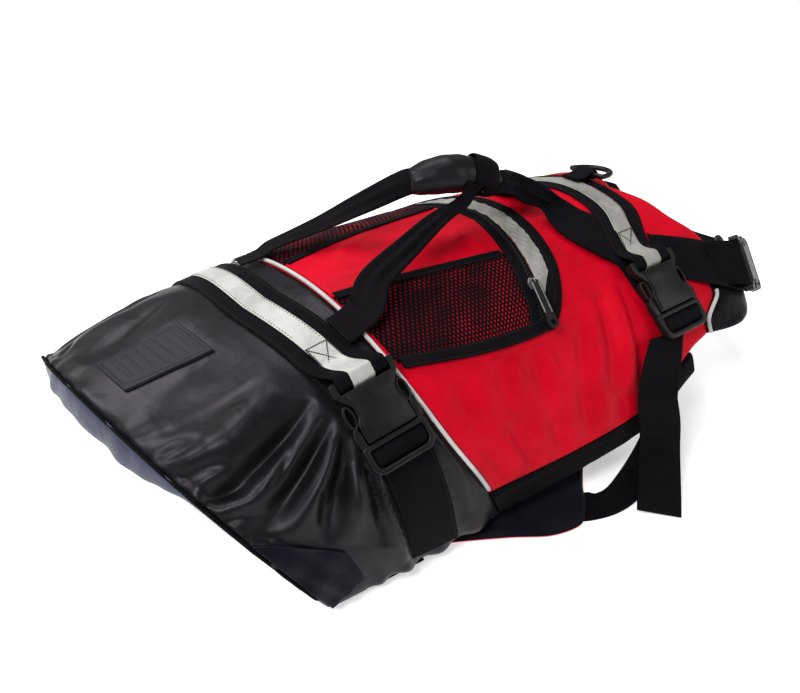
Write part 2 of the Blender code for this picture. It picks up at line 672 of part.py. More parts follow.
def build_front_girth():
    band("girth_front_web", girth_path(GIRTH_FRONT, -0.60, 0.60, 30), WEB_WIDTH, LAY_FIRST, WEB_THICK, "webbing_black")
    band("girth_front_tape", girth_path(GIRTH_FRONT, -0.40, 0.40, 20), TAPE_WIDTH, LAY_SECOND + SEAM_GAP,
         TAPE_THICK, "reflective_silver", 1)
    middle = -0.52
    station = along(GIRTH_FRONT, abs(middle))
    ahead, _, outward = form_frame(station, middle)
    base = skin(station, middle, LAY_FIRST + WEB_THICK + SEAM_GAP + 0.0002)
    build_buckle("front", frame_on(base, ahead, outward))
    lay = LAY_FIRST + WEB_THICK / 2
    for side, name in ((-1, "girth_front_lower_near"), (1, "girth_front_lower_far")):
        laid = [tuple(skin(s, g, lay + rise)) + tuple(skin(s - 0.047, g + 0.004, lay + rise))
                for s, g, rise in ((0.187, 0.650, 0.0002), (0.184, 0.685, 0.0010), (0.177, 0.725, 0.0030))]
        route = smooth(tuple(laid) + LOWER_WEB_ROUTE, 3)
        rows = [((a, side * b, max(c, WEB_THICK / 2 + 0.0002)), (d, side * e, max(f, WEB_THICK / 2 + 0.0002)))
                for a, b, c, d, e, f in route]
        ribbon(name, rows, WEB_THICK, "webbing_black")
    low, high = LOWER_WEB_ROUTE[-1][0], LOWER_WEB_ROUTE[-1][3]
    rows = [((low, s * 0.1971, WEB_THICK / 2), (high, s * 0.1971, WEB_THICK / 2)) for s in spread(4, -1, 1)]
    ribbon("girth_front_belly", rows, WEB_THICK, "webbing_black")
    rows = edges_of([((x, y, z), (1, turn, 0), WEB_WIDTH * 0.9) for x, y, z, turn in smooth(TAIL_ROUTE, 3)])
    rows.insert(0, (skin(0.129, -0.652, 0.0075), skin(0.174, -0.680, 0.0065)))
    ribbon("girth_front_tail", rows, WEB_THICK, "webbing_black")


def smooth(rows, steps):
    # A smooth run through the rows, with that many steps between each pair.
    made = []
    last = len(rows) - 1
    for i in range(last):
        p0, p1, p2, p3 = rows[max(i - 1, 0)], rows[i], rows[i + 1], rows[min(i + 2, last)]
        for k in range(steps):
            s = k / steps
            made.append(tuple(0.5 * (2 * b + (c - a) * s + (2 * a - 5 * b + 4 * c - d) * s**2
                                     + (3 * b - a - 3 * c + d) * s**3) for a, b, c, d in zip(p0, p1, p2, p3)))
    return made + [tuple(rows[last])]


NECK_LINE = ((0.150, 0.320), (0.190, 0.375), (0.248, 0.505), (0.290, 0.600), (0.340, 0.680), (0.409, 0.740),
             (0.478, 0.730), (0.528, 0.700), (0.570, 0.660))
NECK_LIFT = 0.0015


def build_neck_strap():
    def ahead_of_girth(station, girth):
        return max(station, along(GIRTH_FRONT, abs(girth)) + WEB_WIDTH / 2 + 0.0018), girth

    path = [(s, -along(NECK_LINE, s)) for s in spread(30, 0.184, 0.570)]
    band("neck_web", path, WEB_WIDTH, NECK_LIFT, WEB_THICK, "webbing_black", 3, chest_height, ahead_of_girth)
    middle = 0.287
    girth = -along(NECK_LINE, middle)
    ahead, around, outward = form_frame(middle, girth)
    slope = (along(NECK_LINE, middle + 0.01) - along(NECK_LINE, middle - 0.01)) / 0.02
    forward = ahead - around * slope
    base = skin(middle, girth, NECK_LIFT + chest_height(middle, girth) + WEB_THICK + SEAM_GAP + 0.0022)
    build_buckle("neck", frame_on(base, outward.cross(forward), outward))


# ---- handle, D-ring and patch

# The wrapped grip's ends, and the routes of the webbing that carries it: x, y on the far side, z.
GRIP_REAR = (-0.027, 0.008, 0.250)
GRIP_FRONT = (0.060, -0.011, 0.2385)
GRIP_RADIUS = 0.0180
HANDLE_WIDTH = 0.026

# Rows of girth and station of the upper edge, of the lower edge, and how far they lift.
HANDLE_FOOT = (
    (0.060, 0.1400, 0.080, 0.1060, 0.0060), (0.085, 0.1460, 0.120, 0.1045, 0.0025), (0.110, 0.1510, 0.160, 0.1050, 0.0),
    (0.135, 0.1560, 0.200, 0.1070, 0.0), (0.152, 0.1700, 0.240, 0.1120, 0.0), (0.166, 0.1700, 0.280, 0.1190, 0.0),
    (0.180, 0.1700, 0.320, 0.1270, 0.0), (0.192, 0.1700, 0.358, 0.1360, 0.0), (0.202, 0.1700, 0.385, 0.1700, 0.0),
)


def build_handle():
    loops = []
    rear, front = Vector(GRIP_REAR), Vector(GRIP_FRONT)
    axis = (front - rear).normalized()
    side = Vector((0.0, 0.0, 1.0)).cross(axis).normalized()
    up = axis.cross(side)
    for share in spread(12):
        end = min(share, 1 - share)
        radius = GRIP_RADIUS * (0.70 + 0.30 * min(1.0, end / 0.2) ** 0.5)
        centre = rear.lerp(front, share) + up * 0.007 * math.sin(share * math.pi)
        loops.append([centre + side * radius * 1.05 * math.cos(a) + up * radius * 0.95 * math.sin(a)
                      for a in spread(12, 0, 2 * math.pi)[:-1]])
    loft("handle_grip", loops, "webbing_black")
    def beside(share, out, rise):
        return rear.lerp(front, share) - side * out + up * rise

    rear_end = rear - axis * 0.0016
    wrap = GRIP_RADIUS * 1.05 + 0.0034
    hung = {
        "far": ((-0.096, 0.046, 0.2120), (-0.060, 0.027, 0.2320), rear_end),
        "near": ((-0.096, -0.0580, 0.1960), (-0.060, -0.0525, 0.2030), (-0.022, -0.0455, 0.2120),
                 beside(0.58, wrap, -0.014), beside(0.64, wrap, 0.006)),
    }
    for side_sign, tag in ((-1, "near"), (1, "far")):
        around = form_frame(-0.14, side_sign * 0.21)[1]
        ends = Vector((0.0, 1.0, 0.35)) if tag == "far" else -axis
        lift = LAY_THIRD + WEB_THICK / 2
        laid = [skin(u, side_sign * g, lift + rise) for u, g, rise in ((-0.160, 0.216, 0.0), (-0.148, 0.213, 0.0004),
                (-0.136, 0.210, 0.0006), (-0.124, 0.207, 0.0016))]
        route = smooth([tuple(p) for p in laid] + [tuple(p) for p in hung[tag]], 3)
        rows = []
        for i, place in enumerate(route):
            share = max(0.0, (i - 9) / (len(route) - 10))
            turned = min(1.0, share / 0.75) ** 1.5
            # The webbing is folded together lengthwise as it nears the grip.
            width = HANDLE_WIDTH * (1 - 0.45 * share)
            rows.append((place, around.normalized().lerp(ends, turned), width))
        ribbon("handle_rear_" + tag, edges_of(rows), WEB_THICK, "webbing_black")

    lift = LAY_SECOND + 0.0006 + WEB_THICK / 2
    for side_sign, tag in ((-1, "near"), (1, "far")):
        start = front + axis * 0.0042 + side * side_sign * 0.0085
        slant = Vector((0.0, -side_sign * 0.6, 0.8))
        rows = [(start - slant * 0.0095, start + slant * 0.0095)]
        for x, out, z, width, turned in ((0.0780, 0.0110, 0.2285, 0.021, 0.15), (0.0930, 0.0140, 0.2170, 0.025, 0.45),
                                         (0.1080, 0.0170, 0.2050, 0.030, 0.75)):
            across = slant.lerp(Vector((1.0, 0.0, 0.0)), turned).normalized() * width / 2
            place = Vector((x, side_sign * out - 0.003, z))
            rows.append((place - across, place + across))
        for upper, s_upper, lower, s_lower, rise in HANDLE_FOOT:
            s_upper = min(s_upper, along(GIRTH_FRONT, upper) - WEB_WIDTH / 2 - 0.0034)
            s_lower = min(s_lower, along(GIRTH_FRONT, lower) - WEB_WIDTH / 2 - 0.0034)
            rows.append((skin(s_lower, side_sign * lower, lift + rise), skin(s_upper, side_sign * upper, lift + rise)))
        ribbon("handle_front_" + tag, rows, WEB_THICK, "webbing_black")


RING_WIRE = 0.0022
RING_STATION = 0.212
RING_GIRTH = 0.105       # it sits a little to the far side of the ridge
RING_TILT = -3.0


def build_d_ring():
    ahead, _, outward = form_frame(RING_STATION, RING_GIRTH)
    seat = skin(RING_STATION, RING_GIRTH, 0.0082)
    frame = frame_on(seat, ahead, outward)
    half, depth = 0.023, 0.027
    tilt = frame @ Matrix.Rotation(-math.radians(RING_TILT), 4, "Y")
    route = [Vector((0.0, y, 0.0)) for y in spread(4, -half, half)]
    route += [Vector((depth * math.sin(a) * 0.96 + 0.002, half * math.cos(a), 0.0)) for a in spread(10, 0.12, math.pi - 0.12)]
    tube("d_ring", [tilt @ p for p in route], RING_WIRE, 8, "buckle_plastic", closed=True)
    keeper = [(-0.0240, -0.0038), (-0.0240, -0.0016)]
    keeper += [(0.0042 * math.cos(a), 0.0042 * math.sin(a)) for a in spread(10, math.radians(158), math.radians(-90))]
    hole = [(0.0029 * math.cos(a), 0.0029 * math.sin(a)) for a in spread(10, 0, 2 * math.pi)[:-1]]
    side_on = frame @ Matrix.Rotation(math.radians(90), 4, "X")
    plate("d_ring_keeper", keeper, [hole], -0.0125, 0.0125, side_on, "webbing_black")
    return tilt


def build_patch():
    def place(r, c):
        station = -0.308 + r * 0.068
        return station, 0.055 - 0.055 * r + (c - 0.5) * 0.120
    sheet("patch", place, 10, 8, LAY_FIRST, 0.0022, "patch_rubber", REAR_FOLDS)


# ---- the belly panel

BELLY_OUTLINE = ((-0.150, 0.150), (-0.125, 0.170), (-0.095, 0.184), (-0.055, 0.204), (-0.025, 0.221), (0.000, 0.2265),
                 (0.014, 0.2230), (0.028, 0.2100), (0.040, 0.1930), (0.062, 0.1700))


def build_belly_panel():
    low = WEB_THICK + SEAM_GAP
    loops = []
    for x, reach in BELLY_OUTLINE:
        top = [(x, s * reach, low + 0.004 + 0.003 * (1 - s**4)) for s in spread(10, -1, 1)]
        bottom = [(x, s * reach, low) for s in spread(10, -1, 1)]
        loops.append(top + bottom[::-1])
    loft("belly_panel", loops, "lining_navy")


def main():
    for old in list(bpy.data.objects):
        bpy.data.objects.remove(old, do_unlink=True)
    build_rear_panel()
    build_body()
    build_binding(-1, "binding_near")
    build_binding(1, "binding_far")
    build_chest(-1, "chest_near")
    build_chest(1, "chest_far")
    build_rear_trim()
    build_piping()
    build_pocket()
    hinge = build_zip_slider()
    build_rear_girth()
    build_front_girth()
    build_neck_strap()
    build_handle()
    ring = build_d_ring()
    build_patch()
    build_belly_panel()
    shift = Vector((FLOOR_CENTRE[0], FLOOR_CENTRE[1], 0.0))
    for label, frame, column in (("zip pull", hinge, 0), ("D-ring", ring, 1)):
        place = frame.translation - shift
        axis = frame.to_3x3().col[column]
        print("%s hinge at %.4f %.4f %.4f, axis %.4f %.4f %.4f" % (label, *place, *axis))
    corners = [o.matrix_world @ v.co for o in bpy.data.objects if o.type == "MESH" for v in o.data.vertices]
    for k, axis in enumerate("xyz"):
        print(axis, "from %.4f to %.4f" % (min(c[k] for c in corners), max(c[k] for c in corners)))


main()
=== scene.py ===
# Buoyancy jacket for a large dog: padded shells with their creases, net pocket, webbing, silver tapes,
# side release buckles, wrapped carrying handle, stitching and cloth finishes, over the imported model.
# Metres, +Z up. X runs from the rump hem (-X) to the neck (+X); the buckles are on the -Y side.
import json
import math
import re

import bmesh
import bpy
import numpy as np
from mathutils import Matrix, Vector

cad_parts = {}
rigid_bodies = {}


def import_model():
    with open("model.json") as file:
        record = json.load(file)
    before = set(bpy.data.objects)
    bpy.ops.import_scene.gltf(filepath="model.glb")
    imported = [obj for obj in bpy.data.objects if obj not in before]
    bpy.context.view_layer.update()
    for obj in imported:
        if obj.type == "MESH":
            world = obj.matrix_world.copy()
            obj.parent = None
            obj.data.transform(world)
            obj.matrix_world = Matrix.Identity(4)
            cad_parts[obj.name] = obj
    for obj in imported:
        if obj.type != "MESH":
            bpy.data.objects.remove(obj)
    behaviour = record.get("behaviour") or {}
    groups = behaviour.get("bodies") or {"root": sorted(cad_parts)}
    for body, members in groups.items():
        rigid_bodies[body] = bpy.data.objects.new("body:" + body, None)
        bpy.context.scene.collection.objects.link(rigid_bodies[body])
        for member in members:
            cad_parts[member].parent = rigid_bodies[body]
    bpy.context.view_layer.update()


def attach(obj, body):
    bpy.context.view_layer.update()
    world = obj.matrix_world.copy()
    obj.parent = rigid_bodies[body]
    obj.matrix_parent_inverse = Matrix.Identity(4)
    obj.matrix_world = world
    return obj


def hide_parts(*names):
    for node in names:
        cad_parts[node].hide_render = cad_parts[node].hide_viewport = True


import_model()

cadNodes = {item.name for item in bpy.data.objects}
bpy.ops.object.select_all(action="DESELECT")
sides = ((-1, "Near"), (1, "Far"))

# The hollow torso that every shell lies on.
bodyForm = {
    "centre": np.array((0.01275, -0.01795, 0.0)),    # middle of the outline on the floor
    "shoulder": 0.190, "chestReach": 0.175, "chestStretch": 1.25,
    "chestFootDrop": 0.012, "chestTopDrop": 0.055, "girthMetres": 0.29,
    # station, half width, top, foot, roundness, rack, sweep
    "sections": ((-0.335, 0.186, 0.130, 0.0005, 2.55, 0.22, 0.072),
                 (-0.200, 0.188, 0.177, 0.0035, 2.35, 0.19, 0.030),
                 (-0.100, 0.189, 0.191, 0.0120, 2.15, 0.12, 0.030),
                 (0.020, 0.192, 0.194, 0.0240, 2.00, 0.02, 0.010),
                 (0.110, 0.194, 0.192, 0.0320, 1.95, 0.00, 0.000),
                 (0.190, 0.190, 0.188, 0.0420, 1.90, 0.00, 0.000)),
}
centre, girthMetres = bodyForm["centre"], bodyForm["girthMetres"]

# Lines on the form. One that starts at 0 gives a station for each girth, alike on both sides; the
# others give a girth for each station.
lines = {
    "rearSeam": ((0.0, -0.140), (0.45, -0.142), (0.65, -0.136), (0.86, -0.118), (1.0, -0.108)),
    "girthRear": ((0.0, -0.187), (0.20, -0.182), (0.60, -0.179), (0.80, -0.184), (1.0, -0.190)),
    "girthFront": ((0.0, 0.190), (0.15, 0.187), (0.27, 0.173), (0.40, 0.164), (0.54, 0.170), (0.66, 0.176)),
    "zip": ((0.0, 0.055), (0.12, 0.051), (0.28, 0.041), (0.38, 0.032), (0.47, 0.019)),
    "pocketRim": ((0.0, 0.088), (0.16, 0.083), (0.31, 0.070), (0.43, 0.046), (0.49, 0.025)),
    "meshTop": ((-0.140, 0.100), (-0.055, 0.150), (0.040, 0.190)),
    "meshBottom": ((-0.140, 0.375), (-0.067, 0.435), (0.005, 0.455), (0.040, 0.450)),
    "lower": ((-0.15, 0.975), (0.09, 0.975), (0.125, 0.950), (0.157, 0.885), (0.190, 0.830),
              (0.220, 0.800), (0.256, 0.800), (0.34, 0.810)),
    "frontEdge": ((0.0, 0.219), (0.20, 0.233), (0.35, 0.239), (0.52, 0.255), (0.66, 0.258),
                  (0.78, 0.232), (0.86, 0.228), (0.92, 0.209), (1.0, 0.205)),
    "neck": ((0.150, 0.320), (0.190, 0.375), (0.248, 0.505), (0.290, 0.600), (0.340, 0.680), (0.409, 0.740),
             (0.478, 0.730), (0.528, 0.700), (0.570, 0.660)),
}

lay = {  # heights over the shells and thicknesses of cloth
    "first": 0.0007, "second": 0.0026, "third": 0.0046, "neck": 0.0015, "cloth": 0.0014, "gap": 0.0003,
    "webWidth": 0.048, "webThick": 0.0018, "tapeWidth": 0.020, "tapeThick": 0.0008,
}
clothTop = lay["first"] + lay["cloth"]


def along(table, where):
    # A smooth curve through the table's rows, flat beyond its ends.
    knots, values = np.array(table, float).T
    where = np.clip(where, knots[0], knots[-1])
    row = np.clip(np.searchsorted(knots, where, side="right") - 1, 0, len(knots) - 2)
    slope = np.diff(values) / np.diff(knots)
    slope = np.concatenate((slope[:1], (slope[:-1] + slope[1:]) / 2, slope[-1:]))
    span = knots[row + 1] - knots[row]
    s = (where - knots[row]) / span
    return ((2 * s**3 - 3 * s**2 + 1) * values[row] + (s**3 - 2 * s**2 + s) * span * slope[row]
            + (3 * s**2 - 2 * s**3) * values[row + 1] + (s**3 - s**2) * span * slope[row + 1])


def lineAt(name, where):
    return along(lines[name], np.abs(where) if lines[name][0][0] == 0 else where)


def ramp(value, start, span):
    # Rises from 0 to 1 over the span.
    return np.clip((value - start) / span, 0, 1)


def together(*values):
    return np.broadcast_arrays(*(np.asarray(value, float) for value in values))


def grid(rows, columns, first=0):
    # Shares down and across a piece.
    return np.linspace(0, 1, rows)[:, None], np.linspace(first, 1, columns)[None, :]


def unit(vectors):
    return vectors / np.maximum(np.linalg.norm(vectors, axis=-1, keepdims=True), 1e-9)


def formPoint(station, girth):
    # girth: 0 at the ridge, -1 at the near foot, +1 at the far foot.
    station, girth = together(station, girth)
    form = bodyForm
    turn = np.maximum(station - form["shoulder"], 0) / (form["chestReach"] * form["chestStretch"]) * math.pi / 2
    held = np.minimum(station, form["shoulder"])
    halfWidth, top, foot, roundness, rack, sweep = (
        along([(row[0], row[k]) for row in form["sections"]], held) for k in range(1, 7))
    angle = girth * math.pi / 2
    across = np.sign(angle) * np.abs(np.sin(angle)) ** (2 / roundness)
    up = np.abs(np.cos(angle)) ** (2 / roundness)
    # Rounded at the middle of the chest, without a step where it starts.
    inward = np.where(turn > 0, 1 - np.sqrt(np.cos(turn) ** 2 + 0.02) + 0.00995, 0.0)
    foot = foot - form["chestFootDrop"] * inward
    top = top - form["chestTopDrop"] * inward
    y = halfWidth * across * np.cos(turn)
    x = held - rack * y + sweep * (1 - up) + form["chestReach"] * np.sin(turn)
    return np.stack((x, y, foot + (top - foot) * up), -1) - centre


def formFrame(station, girth):
    # The directions along the body, round the girth towards the far side, and outwards.
    step = 0.002
    ahead = formPoint(station + step, girth) - formPoint(station - step, girth)
    inner = np.clip(girth, -0.99, 0.99)
    around = formPoint(station, inner + step) - formPoint(station, inner - step)
    return ahead / (2 * step), around / (2 * step), unit(np.cross(ahead, around))


def skin(station, girth, lift=0.0):
    station, girth = together(station, girth)
    return formPoint(station, girth) + formFrame(station, girth)[2] * np.asarray(lift)[..., None]


def smoothRows(rows, steps):
    # A smooth run through the rows, with that many steps between each pair.
    rows = np.asarray(rows, float)
    held = np.concatenate((rows[:1], rows, rows[-1:]))
    s = (np.arange(steps) / steps)[:, None]
    made = [0.5 * (2 * b + (c - a) * s + (2 * a - 5 * b + 4 * c - d) * s**2 + (3 * b - a - 3 * c + d) * s**3)
            for a, b, c, d in zip(held, held[1:], held[2:], held[3:])]
    return np.concatenate(made + [rows[-1:]])


# Creases, in thousandths: the share of the girth and the station in millimetres where one
# starts and where it ends, its height, its half width at each end, and its bow. Below zero is a trough.
# The near table is the buckle side; the far side has its own, uneven likewise.
rearCreases = {
    "near": (
        (200, -224, 130, -312, -3, 10, 18, 3), (262, -228, 315, -326, 8.5, 13, 23, 4),
        (345, -214, 425, -331, -9.2, 6, 14, 5), (400, -222, 500, -327, 6, 7, 14, 4),
        (415, -212, 585, -322, -8, 5, 12, 6), (480, -222, 655, -308, 5.6, 6, 12, 4),
        (480, -212, 745, -290, -7.4, 5, 10, 4), (570, -222, 800, -266, 4.8, 6, 10, 2),
        (560, -211, 850, -240, -6.2, 4, 8, 3), (620, -212, 940, -221, 6.2, 5, 7, -1),
        (560, -150, 900, -138, 3, 4, 7, 2), (640, -156, 930, -150, -3, 3, 5, 1),
        (420, -250, 500, -290, -3, 3, 4, 1), (580, -255, 690, -278, -2.6, 3, 4, 1),
        (40, -228, 60, -300, 1.8, 12, 16, 0), (130, -333, 150, -304, -1.6, 5, 7, 2),
        (185, -334, 220, -290, 1.6, 5, 10, 2), (215, -334, 275, -296, -2.6, 4, 8, 3),
        (262, -334, 300, -280, 2, 5, 12, 2), (305, -334, 365, -292, -2.8, 4, 7, 3),
        (350, -334, 400, -290, 2.2, 5, 9, 2), (398, -334, 455, -298, -2.6, 4, 7, 2),
        (440, -334, 500, -296, 1.8, 5, 8, 2), (490, -334, 550, -304, -2.2, 4, 7, 2),
        (560, -330, 640, -316, -3, 5, 4, 1), (700, -312, 880, -292, -3, 6, 5, 2),
    ),
    "far": (
        (230, -222, 170, -315, -2.4, 8, 13, -2), (300, -226, 330, -322, 3.6, 12, 20, 3),
        (360, -218, 470, -326, -4.6, 5, 11, 4), (430, -224, 520, -322, 3.6, 6, 12, 3),
        (440, -218, 600, -312, -5, 4, 9, 3), (510, -225, 650, -304, 3.8, 6, 10, 2),
        (500, -218, 700, -290, -4.8, 4, 8, 4), (590, -224, 760, -280, 3.4, 5, 9, 1),
        (570, -216, 820, -262, -4.6, 4, 7, 2), (660, -214, 870, -238, -3.8, 4, 7, 0),
        (300, -326, 370, -304, -2.2, 5, 4, 1), (520, -328, 610, -312, -2.4, 5, 4, 0),
    ),
}
sideCreases = {
    "near": (
        (500, -100, 610, -108, -2, 4, 6, 1), (490, -74, 660, -84, 2.2, 6, 9, 1),
        (500, -48, 640, -60, -2.4, 4, 7, 2), (505, -26, 600, -36, 2, 5, 6, 0),
        (510, -6, 700, -12, -2.4, 4, 8, 2), (520, 12, 640, 8, 1.8, 5, 7, 1),
        (330, 106, 740, 72, -3.4, 5, 9, 4), (360, 118, 780, 92, 3.4, 6, 10, 4),
        (400, 130, 800, 108, -3.4, 5, 8, 3), (440, 90, 700, 52, 2.6, 6, 10, 3),
        (480, 60, 780, 30, -2.8, 5, 10, 3), (640, -110, 860, -94, -2.6, 6, 5, 1),
        (660, -88, 870, -70, 2.4, 7, 6, 1), (690, -66, 870, -52, -2.6, 6, 5, 0),
        (720, -36, 870, -26, 2.2, 7, 6, 1), (700, -14, 875, -4, -2.6, 6, 5, 1),
        (730, 10, 875, 14, 2.2, 7, 6, 0), (690, 34, 875, 36, -2.6, 6, 5, 1),
        (710, 60, 875, 58, 2.4, 7, 6, 1), (760, 82, 870, 82, -2.2, 5, 5, 0),
        (700, 112, 840, 116, -2.6, 5, 6, 1),
    ),
    "far": (
        (500, -90, 640, -98, -2.2, 4, 7, 1), (500, -58, 660, -68, 2.2, 6, 8, 1),
        (510, -30, 690, -42, -2.4, 4, 8, 2), (520, 0, 660, -6, 1.8, 6, 7, 1),
        (350, 110, 720, 80, -3.2, 5, 10, 4), (380, 124, 780, 98, 3.2, 6, 10, 3),
        (430, 94, 720, 58, -2.8, 6, 10, 4), (500, 56, 780, 28, 2.6, 6, 10, 2),
        (660, -98, 865, -82, -2.6, 6, 6, 1), (700, -70, 870, -56, 2.2, 7, 6, 1),
        (700, -40, 870, -30, -2.6, 6, 5, 0), (720, -8, 875, 2, 2.4, 7, 6, 1),
        (700, 24, 875, 28, -2.8, 6, 5, 1), (740, 54, 870, 56, 2.2, 6, 6, 0),
        (700, 104, 840, 110, -2.6, 5, 6, 1),
    ),
}
flapCreases = {
    "near": (
        (20, -128, 120, -50, 1.6, 6, 10, 2), (10, -80, 110, 20, -0.9, 6, 8, 2),
        (30, 10, 150, 26, 1.4, 5, 8, 1),
    ),
    "far": (
        (20, -110, 110, -40, 1.6, 6, 10, -2), (10, -30, 150, 10, -0.9, 6, 8, 1),
    ),
}


def creaseHeight(creases, station, girth, broad=1.0):
    height = np.zeros(np.broadcast(station, girth).shape)
    for rows, sign in ((creases["near"], -1), (creases["far"], 1)):
        for row in rows:
            girthA, stationA, girthB, stationB, tall, halfA, halfB, bow = (value / 1000 for value in row)
            lineX, lineY = stationB - stationA, (girthB - girthA) * girthMetres
            length = math.hypot(lineX, lineY)
            x, y = station - stationA, (sign * girth - girthA) * girthMetres
            share = np.clip((x * lineX + y * lineY) / length**2, 0, 1)
            off = (x * lineY - y * lineX) / length - bow * 4 * share * (1 - share)
            half = broad * (halfA + (halfB - halfA) * share)
            height = height + tall * np.sin(share * math.pi) ** 0.7 * np.exp(-((off / half) ** 2))
    return height


def unevenness(station, girth, size, height):
    # Slow, shallow waves that keep a stuffed shell from lying dead smooth.
    x, y = np.asarray(station) / size, np.asarray(girth) * girthMetres / size
    waves = ((1.0, 0.37, 0.3), (-0.61, 0.92, 1.7), (0.45, -1.31, 4.1), (1.53, 0.81, 2.4), (-0.2, 1.9, 0.9))
    return height * sum(np.sin(a * x * 6.28 + b * y * 6.28 + c) for a, b, c in waves) / len(waves)


def rearLift(station, girth):
    # The shell swells between its hem, the strap that presses into it, and the seam.
    strap = lineAt("girthRear", girth)
    away = np.abs(station - strap)
    pressed = ramp(away, 0.025, 0.010)
    bulge = 0.0022 + 0.0050 * ramp(np.abs(girth), 0.55, 0.20)
    swell = bulge * np.sin(ramp(away, 0.025, 0.045) ** 0.8 * math.pi) * (station < strap)
    creases = 1.2 * creaseHeight(rearCreases, station, girth) + unevenness(station, girth, 0.085, 0.0015)
    return creases * pressed + swell


def bodyLift(station, girth):
    # Nothing rises under the pocket, the straps or the handle.
    ahead = ramp(station - lineAt("pocketRim", girth) - 0.008, 0, 0.012)
    free = np.maximum(ramp(np.abs(girth), 0.485, 0.03), ahead)
    strap = ramp(np.abs(station - lineAt("girthFront", girth)), 0.026, 0.010)
    handle = ramp(np.abs(girth), 0.40, 0.04) + ramp(0.092 - station, 0, 0.01) + ramp(station, 0.200, 0.01)
    creases = 1.35 * creaseHeight(sideCreases, station, girth, 1.35) + unevenness(station, girth, 0.06, 0.0010)
    return creases * (free * strap * np.clip(handle, 0, 1))


def hexColour(code):
    parts = [int(code[i:i + 2], 16) / 255 for i in (1, 3, 5)]
    return tuple(c / 12.92 if c <= 0.04045 else ((c + 0.055) / 1.055) ** 2.4 for c in parts) + (1.0,)


def feed(node, inputs):
    # Sets a node's inputs; one given another node's socket is linked to it.
    for key, value in inputs.items():
        if isinstance(value, bpy.types.NodeSocket):
            node.id_data.links.new(value, node.inputs[key])
        else:
            node.inputs[key].default_value = value


def addNode(tree, kind, inputs=None, **settings):
    made = tree.nodes.new(kind)
    for name, value in settings.items():
        setattr(made, name, value)
    feed(made, inputs or {})
    return made


def bandScale(pitch):
    return 2 * math.pi / 20 / pitch    # the wave texture's scale for bands that far apart


# Slot, weave or rib, colour, shade, tint of the shine, roughness and gloss; then in millimetres the thread
# pitch and relief, and the crinkles' size and depth. Real threads lie 0.4 to 0.5 mm apart: they are drawn
# 1 mm apart or more, because finer ones don't show in the render.
finishes = {
    # Coated pack nylon over foam: a close weave, a soft sheen on its folds.
    "nylonBlack": ("nylon_black", "weave", "#131216", "#0b0a0d", "#e8e2ee", 0.40, 0.23, 1.2, 0.04, 11, 0.8),
    "nylonRed": ("nylon_red", "weave", "#c90320", "#b2021a", "#ffb4b4", 0.50, 0.10, 1.3, 0.06, 14, 1.4),
    # The same nylon painted darker and duller for the chest pieces: painted shade.
    "nylonDull": ("nylon_black", "weave", "#0e0d11", "#08070a", "#e8e2ee", 0.46, 0.06, 1.2, 0.04, 11, 1.1),
    # Polyester lining cloth, blue-black, in two copies: the first painted lighter with painted light, for the band
    # round the rear end and the shells' inner faces; the second painted darker with painted shade, for the rear
    # corners and the belly panel. It has a dull shine where it lies in the light, nearly none in the shade.
    "liningNavy": ("lining_navy", "weave", "#474859", "#313342", "#a9b0d0", 0.42, 0.40, 1.1, 0.05, 12, 1.2),
    "liningDark": ("lining_navy", "weave", "#17171f", "#0f0f15", "#a9b0d0", 0.44, 0.09, 1.1, 0.05, 12, 1.4),
    # Binding tape folded round an edge: ribbed grosgrain, matt.
    "bindingBlack": ("webbing_black", "rib", "#131113", "#0b0a0c", "#8c8c90", 0.74, 0.08, 1.6, 0.14, 16, 0.6),
    # Polyester webbing, woven 48 mm wide: coarse cross ribs, matt.
    "webbingBlack": ("webbing_black", "rib", "#110f12", "#09080a", "#909094", 0.70, 0.09, 2.2, 0.30, 20, 0.6),
    # Retroreflective tape: a grey cloth full of glass beads that goes a little dull where it is creased.
    "silverTape": ("reflective_silver", "weave", "#b9b8b3", "#9b9a96", "#ffffff", 0.36, 0.5, 1.0, 0.04, 12, 2.4),
    # The same tape painted a darker grey for the front strap, its buckle fold and the pocket's arc: painted shade.
    "silverWorn": ("reflective_silver", "weave", "#95938d", "#7d7b76", "#ffffff", 0.40, 0.4, 1.0, 0.04, 12, 2.4),
    # Bias tape sewn round a cord: a fine rib across it, a little grey from wear.
    "pipingWhite": ("piping_white", "rib", "#c4c4c2", "#a9a9a8", "#ffffff", 0.55, 0.4, 1.6, 0.12, 12, 0.4),
}


def startFinish(name):
    finish = bpy.data.materials.new(name)
    finish.use_nodes = True
    tree = finish.node_tree
    return finish, tree, tree.nodes["Principled BSDF"], addNode(tree, "ShaderNodeTexCoord").outputs["Object"]


def mottled(tree, mottle, width, shade, colour):
    # Two shades, blotched by a noise that is spread that far round its middle.
    blotch = addNode(tree, "ShaderNodeMapRange", {"Value": mottle, "From Min": 0.5 - width, "From Max": 0.5 + width})
    return addNode(tree, "ShaderNodeMix", {0: blotch.outputs[0], 6: hexColour(shade), 7: hexColour(colour)},
                   data_type="RGBA").outputs[2]


